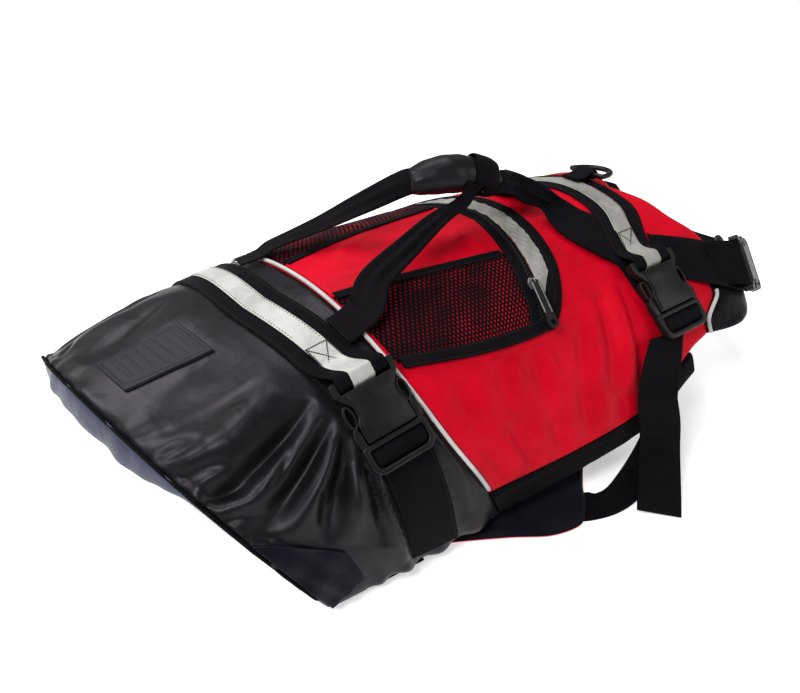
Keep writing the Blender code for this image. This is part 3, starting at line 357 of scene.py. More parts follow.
def clothFinish(name):
    _, kind, colour, shade, tint, rough, gloss, pitch, weave, crinkled, depth = finishes[name]
    finish, tree, shader, place = startFinish(name)
    flat = addNode(tree, "ShaderNodeUVMap", uv_map="cloth").outputs["UV"]
    mottle = addNode(tree, "ShaderNodeTexNoise", {"Vector": place, "Scale": 22.0, "Detail": 7.0, "Roughness": 0.62})
    tone = mottled(tree, mottle.outputs["Fac"], 0.16, shade, colour)
    crinkle = addNode(tree, "ShaderNodeTexNoise", {"Vector": place, "Scale": 600 / crinkled, "Detail": 5.0,
                                                   "Roughness": 0.55, "Distortion": 0.6})
    soft = addNode(tree, "ShaderNodeBump", {"Height": crinkle.outputs["Fac"], "Distance": depth / 1000})
    # The ribs of tape and webbing run across; slow lanes along it break them up.
    lanes, bent = (2.6, 0.3) if kind == "rib" else (1.0, 0.0)
    acrossWave = addNode(tree, "ShaderNodeTexWave", {"Vector": flat, "Scale": bandScale(pitch / 1000 * lanes),
                                                     "Distortion": bent})
    alongWave = addNode(tree, "ShaderNodeTexWave", {"Vector": flat, "Scale": bandScale(pitch / 1000),
                                                    "Distortion": 0.6, "Detail": 1.0}, bands_direction="Y")
    threads = addNode(tree, "ShaderNodeMix", {0: 0.5 if kind == "weave" else 0.25, 2: alongWave.outputs["Fac"],
                                              3: acrossWave.outputs["Fac"]}).outputs[0]
    # The colour goes darker between the threads and lighter on them, along the same relief as the bump: painted shade
    # and painted highlight of the weave.
    threadShading = addNode(tree, "ShaderNodeMapRange", {"Value": threads, "To Min": 0.80, "To Max": 1.12})
    shaded = addNode(tree, "ShaderNodeMix", {0: 1.0, 6: tone, 7: threadShading.outputs[0]},
                     data_type="RGBA", blend_type="MULTIPLY")
    fine = addNode(tree, "ShaderNodeBump", {"Height": threads, "Distance": weave / 1000,
                                            "Normal": soft.outputs["Normal"]})
    dull = addNode(tree, "ShaderNodeMapRange", {"Value": mottle.outputs["Fac"], "From Min": 0.3, "From Max": 0.7,
                                                "To Min": rough - 0.06, "To Max": rough + 0.07})
    feed(shader, {"Base Color": shaded.outputs[2], "Normal": fine.outputs["Normal"], "Roughness": dull.outputs[0],
                  "Specular IOR Level": gloss, "Specular Tint": hexColour(tint)})
    return finish


# Colours: the red in the gaps, painted darker than the shell as painted shade under the net, and the thread;
# the 4 mm pitch of the net's rows, the slant of its diamonds, and where a bar ends and a gap begins.
netLook = {"hole": "#ba0d26", "thread": "#0b090b", "pitch": 0.0040, "slant": 0.98, "bar": 0.51}


def netFinish(name):
    # Knitted polyester net over the red shell: diamond gaps that show the red below.
    finish, tree, shader, place = startFinish(name)
    flat = addNode(tree, "ShaderNodeUVMap", uv_map="cloth").outputs["UV"]
    bars = []
    for turn in (netLook["slant"], -netLook["slant"]):
        turned = addNode(tree, "ShaderNodeMapping", {"Vector": flat, "Rotation": (0.0, 0.0, turn)})
        wave = addNode(tree, "ShaderNodeTexWave", {
            "Vector": turned.outputs[0], "Scale": bandScale(netLook["pitch"]), "Distortion": 0.25, "Detail": 1.0,
            "Detail Scale": 0.6})
        bars.append(wave.outputs["Fac"])
    cell = addNode(tree, "ShaderNodeMath", {0: bars[0], 1: bars[1]}, operation="MINIMUM")
    gap = addNode(tree, "ShaderNodeMapRange", {"Value": cell.outputs[0], "From Min": netLook["bar"] - 0.10,
                                               "From Max": netLook["bar"] + 0.22})
    slack = addNode(tree, "ShaderNodeTexNoise", {"Vector": place, "Scale": 26.0, "Detail": 3.0})
    seen = addNode(tree, "ShaderNodeMapRange", {"Value": slack.outputs["Fac"], "From Min": 0.36, "From Max": 0.62,
                                                "To Min": 0.15, "To Max": 0.85})
    shown = addNode(tree, "ShaderNodeMath", {0: gap.outputs[0], 1: seen.outputs[0]}, operation="MULTIPLY")
    # The gaps show the red below in painted shade.
    tone = addNode(tree, "ShaderNodeMix", {0: shown.outputs[0], 6: hexColour(netLook["thread"]),
                                           7: hexColour(netLook["hole"])}, data_type="RGBA")
    relief = addNode(tree, "ShaderNodeBump", {"Height": gap.outputs[0], "Distance": 0.0007}, invert=True)
    feed(shader, {"Base Color": tone.outputs[2], "Normal": relief.outputs["Normal"], "Roughness": 0.75,
                  "Specular IOR Level": 0.03})
    return finish


# Slot, colour, shade, roughness, gloss and metallic; then the grain's size and depth in millimetres. The real
# grain is 0.1 mm or finer: it is drawn about ten times as coarse, so that it shows in the render.
hardLooks = {
    # Acetal, injection moulded with a fine spark-eroded grain: satin black, its edges polished by handling.
    "acetalBlack": ("buckle_plastic", "#110f0e", "#0a0909", 0.42, 0.22, 0.0, 0.9, 0.05),
    # Zinc die casting, black plated and worn: grey metal, bright on its ridges.
    "zincPlated": ("zip_metal", "#8d8b8c", "#5a585b", 0.34, 0.50, 0.85, 1.6, 0.04),
    # Nylon monofilament, wound and set by heat: smooth, with a small shine on each turn.
    "coilNylon": ("buckle_plastic", "#161518", "#0d0c0e", 0.42, 0.30, 0.0, 2.0, 0.03),
    # Soft moulded rubber with a dull skin.
    "patchRubber": ("patch_rubber", "#202028", "#16161c", 0.55, 0.20, 0.0, 1.2, 0.06),
    # Spun polyester sewing threads: matt and a little fuzzy.
    "threadBlack": ("webbing_black", "#1b1a1b", "#0e0d0f", 0.65, 0.20, 0.0, 1.2, 0.04),
    "threadRed": ("nylon_red", "#a90f1c", "#7c0a14", 0.60, 0.50, 0.0, 1.2, 0.04),
    "threadBrown": ("webbing_black", "#2b2723", "#1b1816", 0.62, 0.50, 0.0, 1.2, 0.04),
}


def hardFinish(name):
    _, colour, shade, rough, gloss, metallic, size, depth = hardLooks[name]
    finish, tree, shader, place = startFinish(name)
    mottle = addNode(tree, "ShaderNodeTexNoise", {"Vector": place, "Scale": 120.0, "Detail": 6.0, "Roughness": 0.7})
    grain = addNode(tree, "ShaderNodeTexNoise", {"Vector": place, "Scale": 1000 / size, "Detail": 2.0})
    relief = addNode(tree, "ShaderNodeBump", {"Height": grain.outputs["Fac"], "Distance": depth / 1000})
    dull = addNode(tree, "ShaderNodeMapRange", {"Value": mottle.outputs["Fac"], "To Min": rough - 0.08,
                                                "To Max": rough + 0.10})
    feed(shader, {"Base Color": mottled(tree, mottle.outputs["Fac"], 0.15, shade, colour),
                  "Normal": relief.outputs["Normal"], "Roughness": dull.outputs[0], "Metallic": metallic,
                  "Specular IOR Level": gloss})
    return finish


def finishOf(name):
    if name not in bpy.data.materials:
        (clothFinish if name in finishes else hardFinish if name in hardLooks else netFinish)(name)
    return bpy.data.materials[name]


# The nodes that aren't called what the pieces are.
otherNames = (("rear_shell", "rear_panel"), ("body_shell", "body_red"), ("pocket_net", "pocket_mesh"),
              ("net_binding", "mesh_binding"), ("silver_arc", "reflective_arc"), ("ring_keeper", "d_ring_keeper"),
              ("rear_patch", "patch"))


def settle(piece, finish, body="jacket", angle=45):
    # Every piece ends here: its finish, its place among the bodies, and the node that it stands for.
    piece.data.shade_smooth()
    piece.data.set_sharp_from_angle(angle=math.radians(angle))
    piece.data.materials.clear()
    piece.data.materials.append(finishOf(finish))
    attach(piece, body)
    node = re.sub("(?=[A-Z])", "_", piece.name).lower()
    for ours, theirs in otherNames:
        node = node.replace(ours, theirs)
    if node in cadNodes:
        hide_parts(node)
    return piece


def meshPiece(name, points, faces, flat=None):
    # A piece with its faces outwards; its flat place in metres is its UV map.
    mesh = bpy.data.meshes.new(name)
    mesh.from_pydata(points.tolist(), [], faces)
    if flat is not None:
        work = bmesh.new()
        work.from_mesh(mesh)
        bmesh.ops.recalc_face_normals(work, faces=work.faces)
        work.to_mesh(mesh)
        work.free()
        corners = np.empty(len(mesh.loops), int)
        mesh.loops.foreach_get("vertex_index", corners)
        mesh.uv_layers.new(name="cloth").data.foreach_set("uv", flat[corners].ravel())
    piece = bpy.data.objects.new(name, mesh)
    bpy.context.scene.collection.objects.link(piece)
    return piece


def clothPiece(name, top, bottom, flatU, flatV, finish, closed=False, lining=None):
    # A closed sheet between two grids of points; a lining is another cloth on the inner face.
    rows, columns = top.shape[:2]
    count = rows * columns
    i, j = np.meshgrid(np.arange(rows if closed else rows - 1), np.arange(columns - 1), indexing="ij")
    ahead = (i + 1) % rows
    a, b, c, d = i * columns + j, i * columns + j + 1, ahead * columns + j + 1, ahead * columns + j
    quads = [np.stack((a, b, c, d), -1).reshape(-1, 4), np.stack((d, c, b, a), -1).reshape(-1, 4) + count]
    rims = [(np.arange(rows) * columns, 0), (np.arange(rows) * columns + columns - 1, 1)]
    if not closed:
        rims += [(np.arange(columns), 1), ((rows - 1) * columns + np.arange(columns), 0)]
    for edge, turned in rims:
        start, end = (edge, np.roll(edge, -1)) if closed else (edge[:-1], edge[1:])
        wall = np.stack((start, end, end + count, start + count), -1)
        quads.append(wall[:, ::-1] if turned else wall)
    flat = np.stack([np.broadcast_to(values, (rows, columns)) for values in (flatU, flatV)], -1).reshape(-1, 2)
    piece = meshPiece(name, np.concatenate((top.reshape(-1, 3), bottom.reshape(-1, 3))),
                      np.concatenate(quads).tolist(), np.concatenate((flat, flat)))
    settle(piece, finish)
    if lining:
        piece.data.materials.append(finishOf(lining))
        face = np.arange(len(piece.data.polygons))
        piece.data.polygons.foreach_set("material_index", ((face >= i.size) & (face < 2 * i.size)).astype(int))
    return piece


def edged(count, rim):
    # Shares from 0 to 1 with a few more close to both ends, and how full the cloth is at each.
    shares = np.concatenate(([0, rim * 0.35], np.linspace(rim, 1 - rim, count), [1 - rim * 0.35, 1]))
    full = np.ones(len(shares))
    full[[0, -1]], full[[1, -2]] = 0.30, 0.80
    return shares, full


def runLength(points):
    return np.concatenate(([0], np.cumsum(np.linalg.norm(np.diff(points, axis=0), axis=1))))


def laidSheet(name, place, size, cells, lift, thick, finish, over=None):
    # Cloth laid on the form; place gives (station, girth) at two shares, size is its length and width.
    (r, fullR), (c, fullC) = (edged(n, min(0.0012 / s, 0.2)) for n, s in zip(cells, size))
    r, c = together(r[:, None], c[None, :])
    station, girth = place(r, c)
    full = np.minimum(fullR[:, None], fullC[None, :])
    height = lift + (over(station, girth) if over else 0.0)
    return clothPiece(name, skin(station, girth, height + thick * full), skin(station, girth, height + 0 * full),
                      c * size[1], r * size[0], finish)


def acrossPath(station, girth, offsets):
    # Stations and girths at those distances from a path, square to it.
    ahead, around, outward = formFrame(station, girth)
    side = unit(np.cross(outward, ahead * np.gradient(station)[:, None] + around * np.gradient(girth)[:, None]))
    reach = side[:, None] * np.asarray(offsets)[None, :, None]
    return [start[:, None] + (reach * way[:, None]).sum(-1) / (way**2).sum(-1)[:, None]
            for start, way in ((station, ahead), (girth, around))]


def layBand(name, station, girth, width, lift, thick, finish, under=None, clear=None, columns=7):
    # Webbing laid on the form along a path, square across its own line.
    c, full = edged(columns, 0.0012 / width)
    stations, girths = acrossPath(station, girth, (c - 0.5) * width)
    if clear:
        stations, girths = clear(stations, girths)
    height = lift + (under(stations, girths) if under else 0.0)
    full = full[None, :] * np.ones(stations.shape)
    return clothPiece(name, skin(stations, girths, height + thick * full),
                      skin(stations, girths, height + thick * 0.2 * (1 - full)), c * width,
                      runLength(skin(station, girth))[:, None], finish)


def hungStrip(name, left, right, thick=0.0018, finish="webbingBlack", columns=7, cup=0.0, pleat=0.0):
    # Webbing in the air between two edges; cup curls it lengthwise, pleat bunches it in lengthwise folds.
    width = np.linalg.norm(right - left, axis=1).mean()
    c, full = edged(columns, 0.0012 / width)
    middle = left[:, None] * (1 - c)[None, :, None] + right[:, None] * c[None, :, None]
    spine = (left + right) / 2
    normal = unit(np.cross(np.gradient(spine, axis=0), right - left))[:, None]
    cupped = (np.zeros(len(left)) + cup)[:, None] * (1 - (2 * c - 1)[None, :] ** 2)
    cupped = cupped + (np.zeros(len(left)) + pleat)[:, None] * np.sin(c * math.pi * 4.6 + 0.7)[None, :]
    middle = middle + normal * cupped[..., None]
    half = thick / 2 * full[None, :, None]
    return clothPiece(name, middle + normal * half, middle - normal * half, c * width, runLength(spine)[:, None],
                      finish)


def roundTube(name, centres, radius, finish, around=10):
    # Piping or cord through the centres, with closed, rounded ends.
    tangent = unit(np.gradient(centres, axis=0))
    side = np.array((0.0, 0.0, 1.0))
    loops = []
    count = len(centres)
    angles = np.linspace(0, 2 * math.pi, around, endpoint=False)[:, None]
    for i in range(count):
        side = unit(side - tangent[i] * side.dot(tangent[i]))
        ring = side * np.cos(angles) + np.cross(tangent[i], side) * np.sin(angles)
        loops.append(centres[i] + ring * radius * (0.55 if i in (0, count - 1) else 1.0))
    i, j = np.meshgrid(np.arange(count - 1), np.arange(around), indexing="ij")
    k = (j + 1) % around
    quads = np.stack((i * around + j, i * around + k, (i + 1) * around + k, (i + 1) * around + j), -1)
    faces = quads.reshape(-1, 4).tolist()
    faces += [list(range(around))[::-1], list(range((count - 1) * around, count * around))]
    flat = np.stack((np.tile(np.linspace(0, 2 * math.pi * radius, around), count),
                     np.repeat(runLength(centres), around)), -1)
    return settle(meshPiece(name, np.concatenate(loops), faces, flat), finish)


# The stitches gather here, and become one piece for each colour of thread.
threadRuns = {"threadBlack": [], "threadRed": [], "threadBrown": []}


def sewLine(points, outward, thread="threadBlack", pitch=0.0034, length=0.0025, thick=0.00036):
    # Lays stitches along a line of points, on the cloth below them.
    points, outward = np.asarray(points, float), np.asarray(outward, float)
    run = runLength(points)
    starts = np.arange(pitch / 2, run[-1], pitch)
    if not len(starts):
        return

    def at(where, values):
        return np.stack([np.interp(where, run, values[:, k]) for k in range(3)], -1)
    where, up = at(starts, points), unit(at(starts, outward))
    ahead = unit(at(starts + 1e-4, points) - at(starts - 1e-4, points))
    side = unit(np.cross(up, ahead))
    ends = [where + ahead * s * length / 2 - up * thick * 0.6 for s in (-1, 1)]
    ring = [where + side * thick * 1.3, where + up * thick, where - side * thick * 1.3, where - up * thick]
    threadRuns[thread].append(np.stack(ends + ring, 1))


def sewOn(station, girth, lift, thread="threadBlack"):
    station, girth = together(station, girth)
    sewLine(skin(station, girth, lift), formFrame(station, girth)[2], thread)


def makeThreads():
    faces = ((0, 2, 3), (0, 3, 4), (0, 4, 5), (0, 5, 2), (1, 3, 2), (1, 4, 3), (1, 5, 4), (1, 2, 5))
    for thread, runs in threadRuns.items():
        points = np.concatenate(runs)
        corners = np.array(faces)[None] + np.arange(len(points))[:, None, None] * 6
        settle(meshPiece("stitches" + thread[6:], points.reshape(-1, 3), corners.reshape(-1, 3).tolist()), thread,
               angle=80)
        print("stitches", thread, len(points))


# Steps each way; the foam's thickness, and at its edge; how deep and how far in the edge falls; the hem's station.
rearShell = {"rows": 84, "columns": 300, "foam": 0.015, "edge": 0.004, "roll": 0.0028, "rollReach": 0.007,
             "hem": -0.333}


def rolled(distance, reach, depth):
    # How far a stuffed shell falls away near a seam.
    share = np.clip(1 - distance / reach, 0, 1)
    return depth * (1 - np.sqrt(1 - 0.999 * share**2))


def hemWave(girth):
    # The hem puckers a little where it is sewn to the lining.
    return 0.0011 * np.sin(girth * 29 + 0.5) + 0.0008 * np.sin(girth * 47) + 0.0006 * np.sin(girth * 83 + 2.0)


def makeRearShell():
    look = rearShell
    part = np.linspace(-1, 1, look["columns"] + 1)
    girth = np.sign(part) * np.abs(part) ** 0.93 * 0.995
    share = np.linspace(0, 1, look["rows"] + 1)[:, None]
    station = look["hem"] + share * (lineAt("rearSeam", girth) - lay["gap"] - look["hem"])
    girth = girth + 0 * station
    toEdge = np.minimum(np.minimum(station - look["hem"], lineAt("rearSeam", girth) - station),
                        (0.995 - np.abs(girth)) * girthMetres)
    lift = rearLift(station, girth) * ramp(toEdge, 0, 0.008) - rolled(toEdge, look["rollReach"], look["roll"])
    hem = np.exp(-(((station - look["hem"]) / 0.011) ** 2)) * ramp(0.96 - np.abs(girth), 0, 0.05)
    lift = lift + hemWave(girth) * hem
    ripple = 0.0030 * np.sin((station + 0.19) * 150) * ramp(station, -0.285, 0.03)
    lift = lift + ripple * np.exp(-(((1 - np.abs(girth)) / 0.06) ** 2))
    foot = ramp(1 - np.abs(girth), 0, 0.10)
    foam = look["edge"] + (look["foam"] - look["edge"]) * np.sin(foot * math.pi / 2)
    shell = clothPiece("rearShell", skin(station, girth, lift), skin(station, girth, -foam),
                       girth * girthMetres, station, "nylonBlack", lining="liningNavy")
    line = np.linspace(-0.97, 0.97, 300)
    for inset in (0.0035, 0.0085):
        place = lineAt("rearSeam", line) - inset
        fall = rolled(np.full(300, inset), look["rollReach"], look["roll"])
        sewOn(place, line, rearLift(place, line) - fall + 0.0001)
    sewOn(look["hem"] + 0.006, line, rearLift(look["hem"] + 0.006, line) * 0.75 - 0.0001)


bodyShell = {"rows": 120, "columns": 280, "foam": 0.012, "edge": 0.004, "roll": 0.0022, "rollReach": 0.006,
             "bindingTop": 0.885, "lowerEdge": 0.975, "bindingEnd": 0.180}


def bodyReach(station):
    return lineAt("lower", station) - bodyShell["lowerEdge"] + bodyShell["bindingTop"] - 0.0035


def makeBodyShell():
    look = bodyShell
    share, part = grid(look["rows"] + 1, look["columns"] + 1, -1)
    front = lineAt("frontEdge", part)
    girth = part * 0.9 + 0 * share
    for _ in range(4):
        start = lineAt("rearSeam", girth) + lay["gap"]
        station = start + share * (front - start)
        girth = part * bodyReach(station)
    toEdge = np.minimum(np.minimum(station - start, front - station), (1 - np.abs(part)) * 0.88 * girthMetres)
    lift = bodyLift(station, girth) * ramp(toEdge, 0, 0.006) - rolled(toEdge, look["rollReach"], look["roll"])
    rim = np.clip(np.minimum((1 - np.abs(part)) / 0.12, (1 - share) / 0.12), 0, 1)
    foam = look["edge"] + (look["foam"] - look["edge"]) * np.sin(rim * math.pi / 2)
    shell = clothPiece("bodyShell", skin(station, girth, lift), skin(station, girth, -foam),
                       girth * girthMetres, station, "nylonRed", lining="liningNavy")
    for sign in (-1, 1):
        line = np.linspace(0.50, 0.86, 160)
        place = lineAt("rearSeam", line) + 0.0055
        sewOn(place, sign * line, bodyLift(place, sign * line) + 0.0001, "threadRed")
        share = np.linspace(-0.115, 0.140, 200)
        place = bodyReach(share) - 0.012
        sewOn(share, sign * place, bodyLift(share, sign * place) * 0.6 - 0.0001, "threadRed")


def makeBindings():
    look = bodyShell
    for sign, side in sides:
        share, part = grid(121, 13)
        girth = look["bindingTop"] + part * (look["lowerEdge"] - look["bindingTop"]) + 0 * share
        start = lineAt("rearSeam", girth) + lay["gap"]
        station = start + share * (look["bindingEnd"] - start)
        girth = girth + lineAt("lower", station) - look["lowerEdge"]
        bulge = 0.0012 * np.sin(part * math.pi) ** 0.5 + unevenness(station, girth, 0.03, 0.0005)
        lift = bulge - rolled(np.minimum(part, 1 - part) * 0.027, 0.004, 0.0012)
        piece = clothPiece("binding" + side, skin(station, sign * girth, lift), skin(station, sign * girth, -0.005),
                           station, girth * girthMetres, "bindingBlack")
        line = np.linspace(-0.112, 0.165, 200)
        edge = look["bindingTop"] + 0.014 + lineAt("lower", line) - look["lowerEdge"]
        sewOn(line, sign * edge, 0.0012)


# Where the piece starts down the shell's edge, the station and bow of its tip, and how it spreads and stands off.
chest = {"from": 20 / 28, "tip": 0.330, "tipBow": 0.02, "spread": 0.055, "flare": 0.011, "pad": 0.006}


def chestSpot(share, part):
    # Station and girth of a spot on a chest piece, which is sewn to the lower part of the shell's front edge.
    bodyPart = chest["from"] + part * (1 - chest["from"])
    start = lineAt("frontEdge", bodyPart)
    tip = chest["tip"] - chest["tipBow"] * (2 * part - 1) ** 2
    girth = bodyPart * bodyReach(start)
    girth = girth + chest["spread"] * (2 * part - 1) * np.sin(np.minimum(share * 1.25, 1.0) * math.pi / 2)
    return start + 3 * lay["gap"] + share * (tip - start), girth


def chestHeight(station, girth):
    # How far a chest piece stands off the form here, on either side of the middle.
    middle = bodyForm["shoulder"] + bodyForm["chestReach"] * bodyForm["chestStretch"]
    station = np.minimum(station, 2 * middle - station)
    share = ramp(station, 0.250, 0.080)
    low, high = chestSpot(share, 1.0)[1], chestSpot(share, 0.0)[1]
    return chest["flare"] * ramp(np.abs(girth), high, low - high)


def makeChest():
    for sign, side in sides:
        share, part = grid(61, 37)
        station, girth = chestSpot(*together(share, part))
        flare = chest["flare"] * part * np.sin(np.minimum(share * 1.2, 1.0) * math.pi)
        toEdge = np.minimum(np.minimum(part, 1 - part) * 0.09, np.minimum(share, 1 - share) * 0.10)
        strap = ramp(np.abs(girth - lineAt("neck", station)), 0.09, 0.02)
        creases = 0.0016 * np.sin(share * 9 + part * 3 + 0.6 * sign) * strap * ramp(toEdge, 0, 0.008)
        lift = flare + creases - rolled(toEdge, 0.004, 0.0018)
        # The chest pieces wear the nylon copy painted darker: painted shade.
        piece = clothPiece("chest" + side, skin(station, sign * girth, lift),
                           skin(station, sign * girth, flare - chest["pad"] + rolled(toEdge, 0.003, 0.0012)),
                           girth * girthMetres, station, "nylonDull")


def makeRearTrim():
    # The lining over the foam's rear end: deepest at the back, narrow round the shoulders.
    hem = rearShell["hem"]
    girth = np.linspace(-0.985, 0.985, 260)
    ahead, _, outward = formFrame(np.full(260, hem), girth)
    aft = -unit(ahead)
    back = np.exp(-((girth / 0.30) ** 4))[:, None]
    depth = 0.007 + 0.016 * back
    fall = unit(-outward * (1 - back) + np.array((0.0, 0.0, -1.0)) * back)
    lumps = (0.0012 * np.sin(girth * 37) + 0.0010 * np.sin(girth * 61 + 1.3))[:, None]
    edge = formPoint(hem, girth) + aft * lay["gap"] * 2 - outward * 0.0012
    down = np.linspace(0, 1, 13)
    swell = np.sin(down * math.pi) ** 0.55 * (1 - 0.25 * np.cos(down * math.pi))
    reach = 0.0025 + 0.0065 * back
    front = (edge[:, None] + fall[:, None] * (depth * down[None, :])[..., None]
             + aft[:, None] * ((reach + lumps * back * 0.7) * swell[None, :])[..., None])
    rear = edge[:, None] + fall[:, None] * (depth * down[None, :])[..., None] - aft[:, None] * 0.0002
    # The band wears the lining copy painted lighter: painted light.
    piece = clothPiece("rearEndBand", front, rear, (down * 0.03)[None, :], girth[:, None] * 0.29, "liningNavy")
    line = np.linspace(-0.94, 0.94, 220)
    edge = skin(hem, line, hemWave(line) - 0.0010) - unit(formFrame(np.full(220, hem), line)[0]) * 0.0012
    roundTube("hemRoll", edge, 0.0015, "bindingBlack")
    for sign, side in sides:
        def place(r, c):
            high = 0.60 + 0.21 * r
            return hem + 0.001 + r * 0.056, sign * (high + c * (0.985 - 0.055 * r - high))

        def over(station, girth):
            toEdge = np.minimum(station - hem, (0.995 - np.abs(girth)) * 0.29)
            ripples = 0.0009 * np.sin(station * 260 + girth * 21) + 0.0011 * np.sin(girth * 46 - station * 90)
            shell = np.maximum(rearLift(station, girth) * ramp(toEdge, 0, 0.008), -0.0006)
            return shell + ripples * 0.6 + 0.0006
        # The corners wear the lining copy painted darker: painted shade.
        piece = laidSheet("rearCorner" + side, place, (0.056, 0.085), (34, 44), lay["first"], lay["cloth"],
                          "liningDark", over)
        r = np.linspace(0.02, 0.98, 60)
        for c in (0.02, 0.98):
            station, girth = place(r, np.full(60, c))
            sewOn(station, girth, over(station, girth) + 0.0022)


def makePiping():
    radius = 0.0019
    girth = np.linspace(-0.86, 0.86, 300)
    roundTube("pipingRear", skin(lineAt("rearSeam", girth), girth, radius + lay["first"]), radius, "pipingWhite")
    for sign, side in sides:
        part = np.linspace(0.83, 1.0, 60)
        station = lineAt("frontEdge", part)
        roundTube("pipingFront" + side, skin(station + lay["gap"], sign * part * bodyReach(station),
                                             radius + lay["first"]), radius, "pipingWhite")


# Half width of the zip, gaps between pieces, the pocket's rear end, the coil's pitch, and the rim's swell.
pocket = {"zipHalf": 0.006, "gap": 0.0006, "rear": -0.136, "teethPitch": 0.0021, "rimRise": 0.0016}


def makePocket():
    half, gap, rear = pocket["zipHalf"], pocket["gap"], pocket["rear"]

    def zipBack(girth):
        # The tape is broader behind the teeth, most of all beside the mesh.
        return lineAt("zip", girth) - half - 0.0030 - 0.0040 * ramp(girth, 0, 0.30)

    def flapPlace(r, c):
        girth = 0.1
        for _ in range(4):
            end = zipBack(np.abs(girth)) - gap
            station = rear + c * (end - rear)
            girth = (2 * r - 1) * (lineAt("meshTop", station) - 0.004)
        return station, girth

    flap = laidSheet("pocketFlap", flapPlace, (0.085, 0.185), (60, 90), lay["first"], lay["cloth"], "nylonRed",
                     lambda s, g: np.maximum(creaseHeight(flapCreases, s, g), 0) * 1.8)

    for sign, side in sides:
        def meshPlace(r, c):
            girth = 0.3
            for _ in range(4):
                end = zipBack(girth) - gap
                station = rear + r * (end - rear)
                low, high = lineAt("meshTop", station), lineAt("meshBottom", station)
                girth = low + c * (high - low)
            return station, sign * girth

        def slack(station, girth):
            fold = np.exp(-(((station + 0.052 + 0.10 * (np.abs(girth) - 0.3)) / 0.005) ** 2))
            inner = np.sin(ramp(np.abs(girth), 0.13, 0.29) * math.pi)
            return (0.0010 * fold + 0.0007 * np.sin(station * 75 + girth * 9) ** 2) * inner
        net = laidSheet("pocketNet" + side, meshPlace, (0.172, 0.078), (70, 40), lay["first"], lay["cloth"],
                        "netBlack", slack)

        def topPlace(r, c):
            station = -0.134 + r * 0.167
            return station, sign * (lineAt("meshTop", station) + (c - 0.55) * 0.030)

        def lowPlace(r, c):
            station = -0.134 + r * 0.160
            return station, sign * (lineAt("meshBottom", station) + (c - 0.4) * 0.042)
        for label, place, width in (("Top", topPlace, 0.0088), ("Low", lowPlace, 0.0122)):
            tape = laidSheet("netBinding" + label + side, place, (0.172, width), (60, 7), lay["second"] - 0.0002,
                             0.0017, "bindingBlack")
            for c in (0.14, 0.86):
                station, girth = place(np.linspace(0.01, 0.99, 120), np.full(120, c))
                sewOn(station, girth, lay["second"] + 0.0016)

    def arc(low, high, end):
        def place(r, c):
            girth = (2 * r - 1) * end
            start = low(np.abs(girth))
            return start + c * (high(np.abs(girth)) - start), girth
        return place

    def zipFront(girth):
        return lineAt("zip", girth) + half

    def rimBack(girth):
        # The silver arc tapers to nothing between the zip and the rim.
        wide = lineAt("pocketRim", girth) - 0.0075 - zipFront(girth)
        share = ramp(girth, 0.30, 0.09)
        return zipFront(girth) + wide * (1 - share) + 0.0026 * share

    def crackle(station, girth):
        folds = np.sin(station * 420 + girth * 74) * np.sin(girth * 47 - station * 200 + 1.0)
        return 0.0010 * np.abs(folds) ** 1.5 + 0.0002

    tape = laidSheet("zipTape", arc(zipBack, zipFront, 0.47), (0.28, 0.018),
                     (150, 9), lay["first"], lay["cloth"], "bindingBlack")
    # The arc wears the tape copy painted darker: painted shade.
    silver = laidSheet("silverArc", arc(lambda g: zipFront(g) + gap, lambda g: rimBack(g) - gap, 0.385),
                       (0.23, 0.018), (170, 18), lay["first"], 0.0012, "silverWorn", crackle)

    def rimStart(girth):
        return np.where(girth < 0.386, rimBack(girth), zipFront(girth) + gap)

    def rimEnd(girth):
        return lineAt("pocketRim", girth) + 0.0045

    def rimRise(station, girth):
        start, end = rimStart(np.abs(girth)), rimEnd(np.abs(girth))
        return pocket["rimRise"] * np.sin(ramp(station, start, end - start) * math.pi) ** 0.6
    rim = laidSheet("pocketRim", arc(rimStart, rimEnd, 0.48), (0.30, 0.013), (190, 13), lay["first"],
                    lay["cloth"], "bindingBlack", rimRise)
    for offset in (0.0032, -0.0062):
        line = np.linspace(-0.42, 0.42, 300)
        station = lineAt("pocketRim", line) + offset
        sewOn(station, line, clothTop + rimRise(station, line) + 0.0001)
    line = np.linspace(-0.46, 0.46, 300)
    for station in (zipBack(np.abs(line)) + 0.0012, zipFront(np.abs(line)) - 0.0010):
        sewOn(station, line, clothTop + 0.0001)
    makeTeeth()
    makeZipSlider()


def makeTeeth():
    # One coil tooth, modelled once and repeated along the closed zip, leaning each way in turn.
    bpy.ops.mesh.primitive_cylinder_add(vertices=8, radius=0.0007, depth=0.0040, rotation=(0, math.pi / 2, 0))
    tooth = bpy.context.object
    tidyPlace(tooth)
    corners = np.array([v.co for v in tooth.data.vertices])
    faces = [tuple(f.vertices) for f in tooth.data.polygons]
    bpy.data.objects.remove(tooth, do_unlink=True)
    line = np.linspace(-0.455, 0.455, 700)
    path = skin(lineAt("zip", line), line, clothTop + 0.0004)
    run = runLength(path)
    points, quads = [], []
    for n, where in enumerate(np.arange(0, run[-1], pocket["teethPitch"])):
        girth = np.interp(where, run, line)
        station = lineAt("zip", girth)
        ahead, around, outward = (unit(v) for v in formFrame(station, girth))
        across = unit(ahead + around * (0.35 if n % 2 else -0.35))
        turned = np.stack((across, unit(np.cross(outward, across)), outward))
        quads += [tuple(i + len(points) * len(corners) for i in f) for f in faces]
        points.append(corners @ turned + skin(station, girth, clothTop + 0.0004))
    settle(meshPiece("zipTeeth", np.concatenate(points), quads), "coilNylon", angle=60)


def placedOn(origin, across, outward):
    # Axes: x across, z outwards, y square to both.
    z = Vector(outward).normalized()
    x = (Vector(across) - z * Vector(across).dot(z)).normalized()
    return Matrix.Translation(Vector(origin)) @ Matrix((x, z.cross(x), z)).transposed().to_4x4()


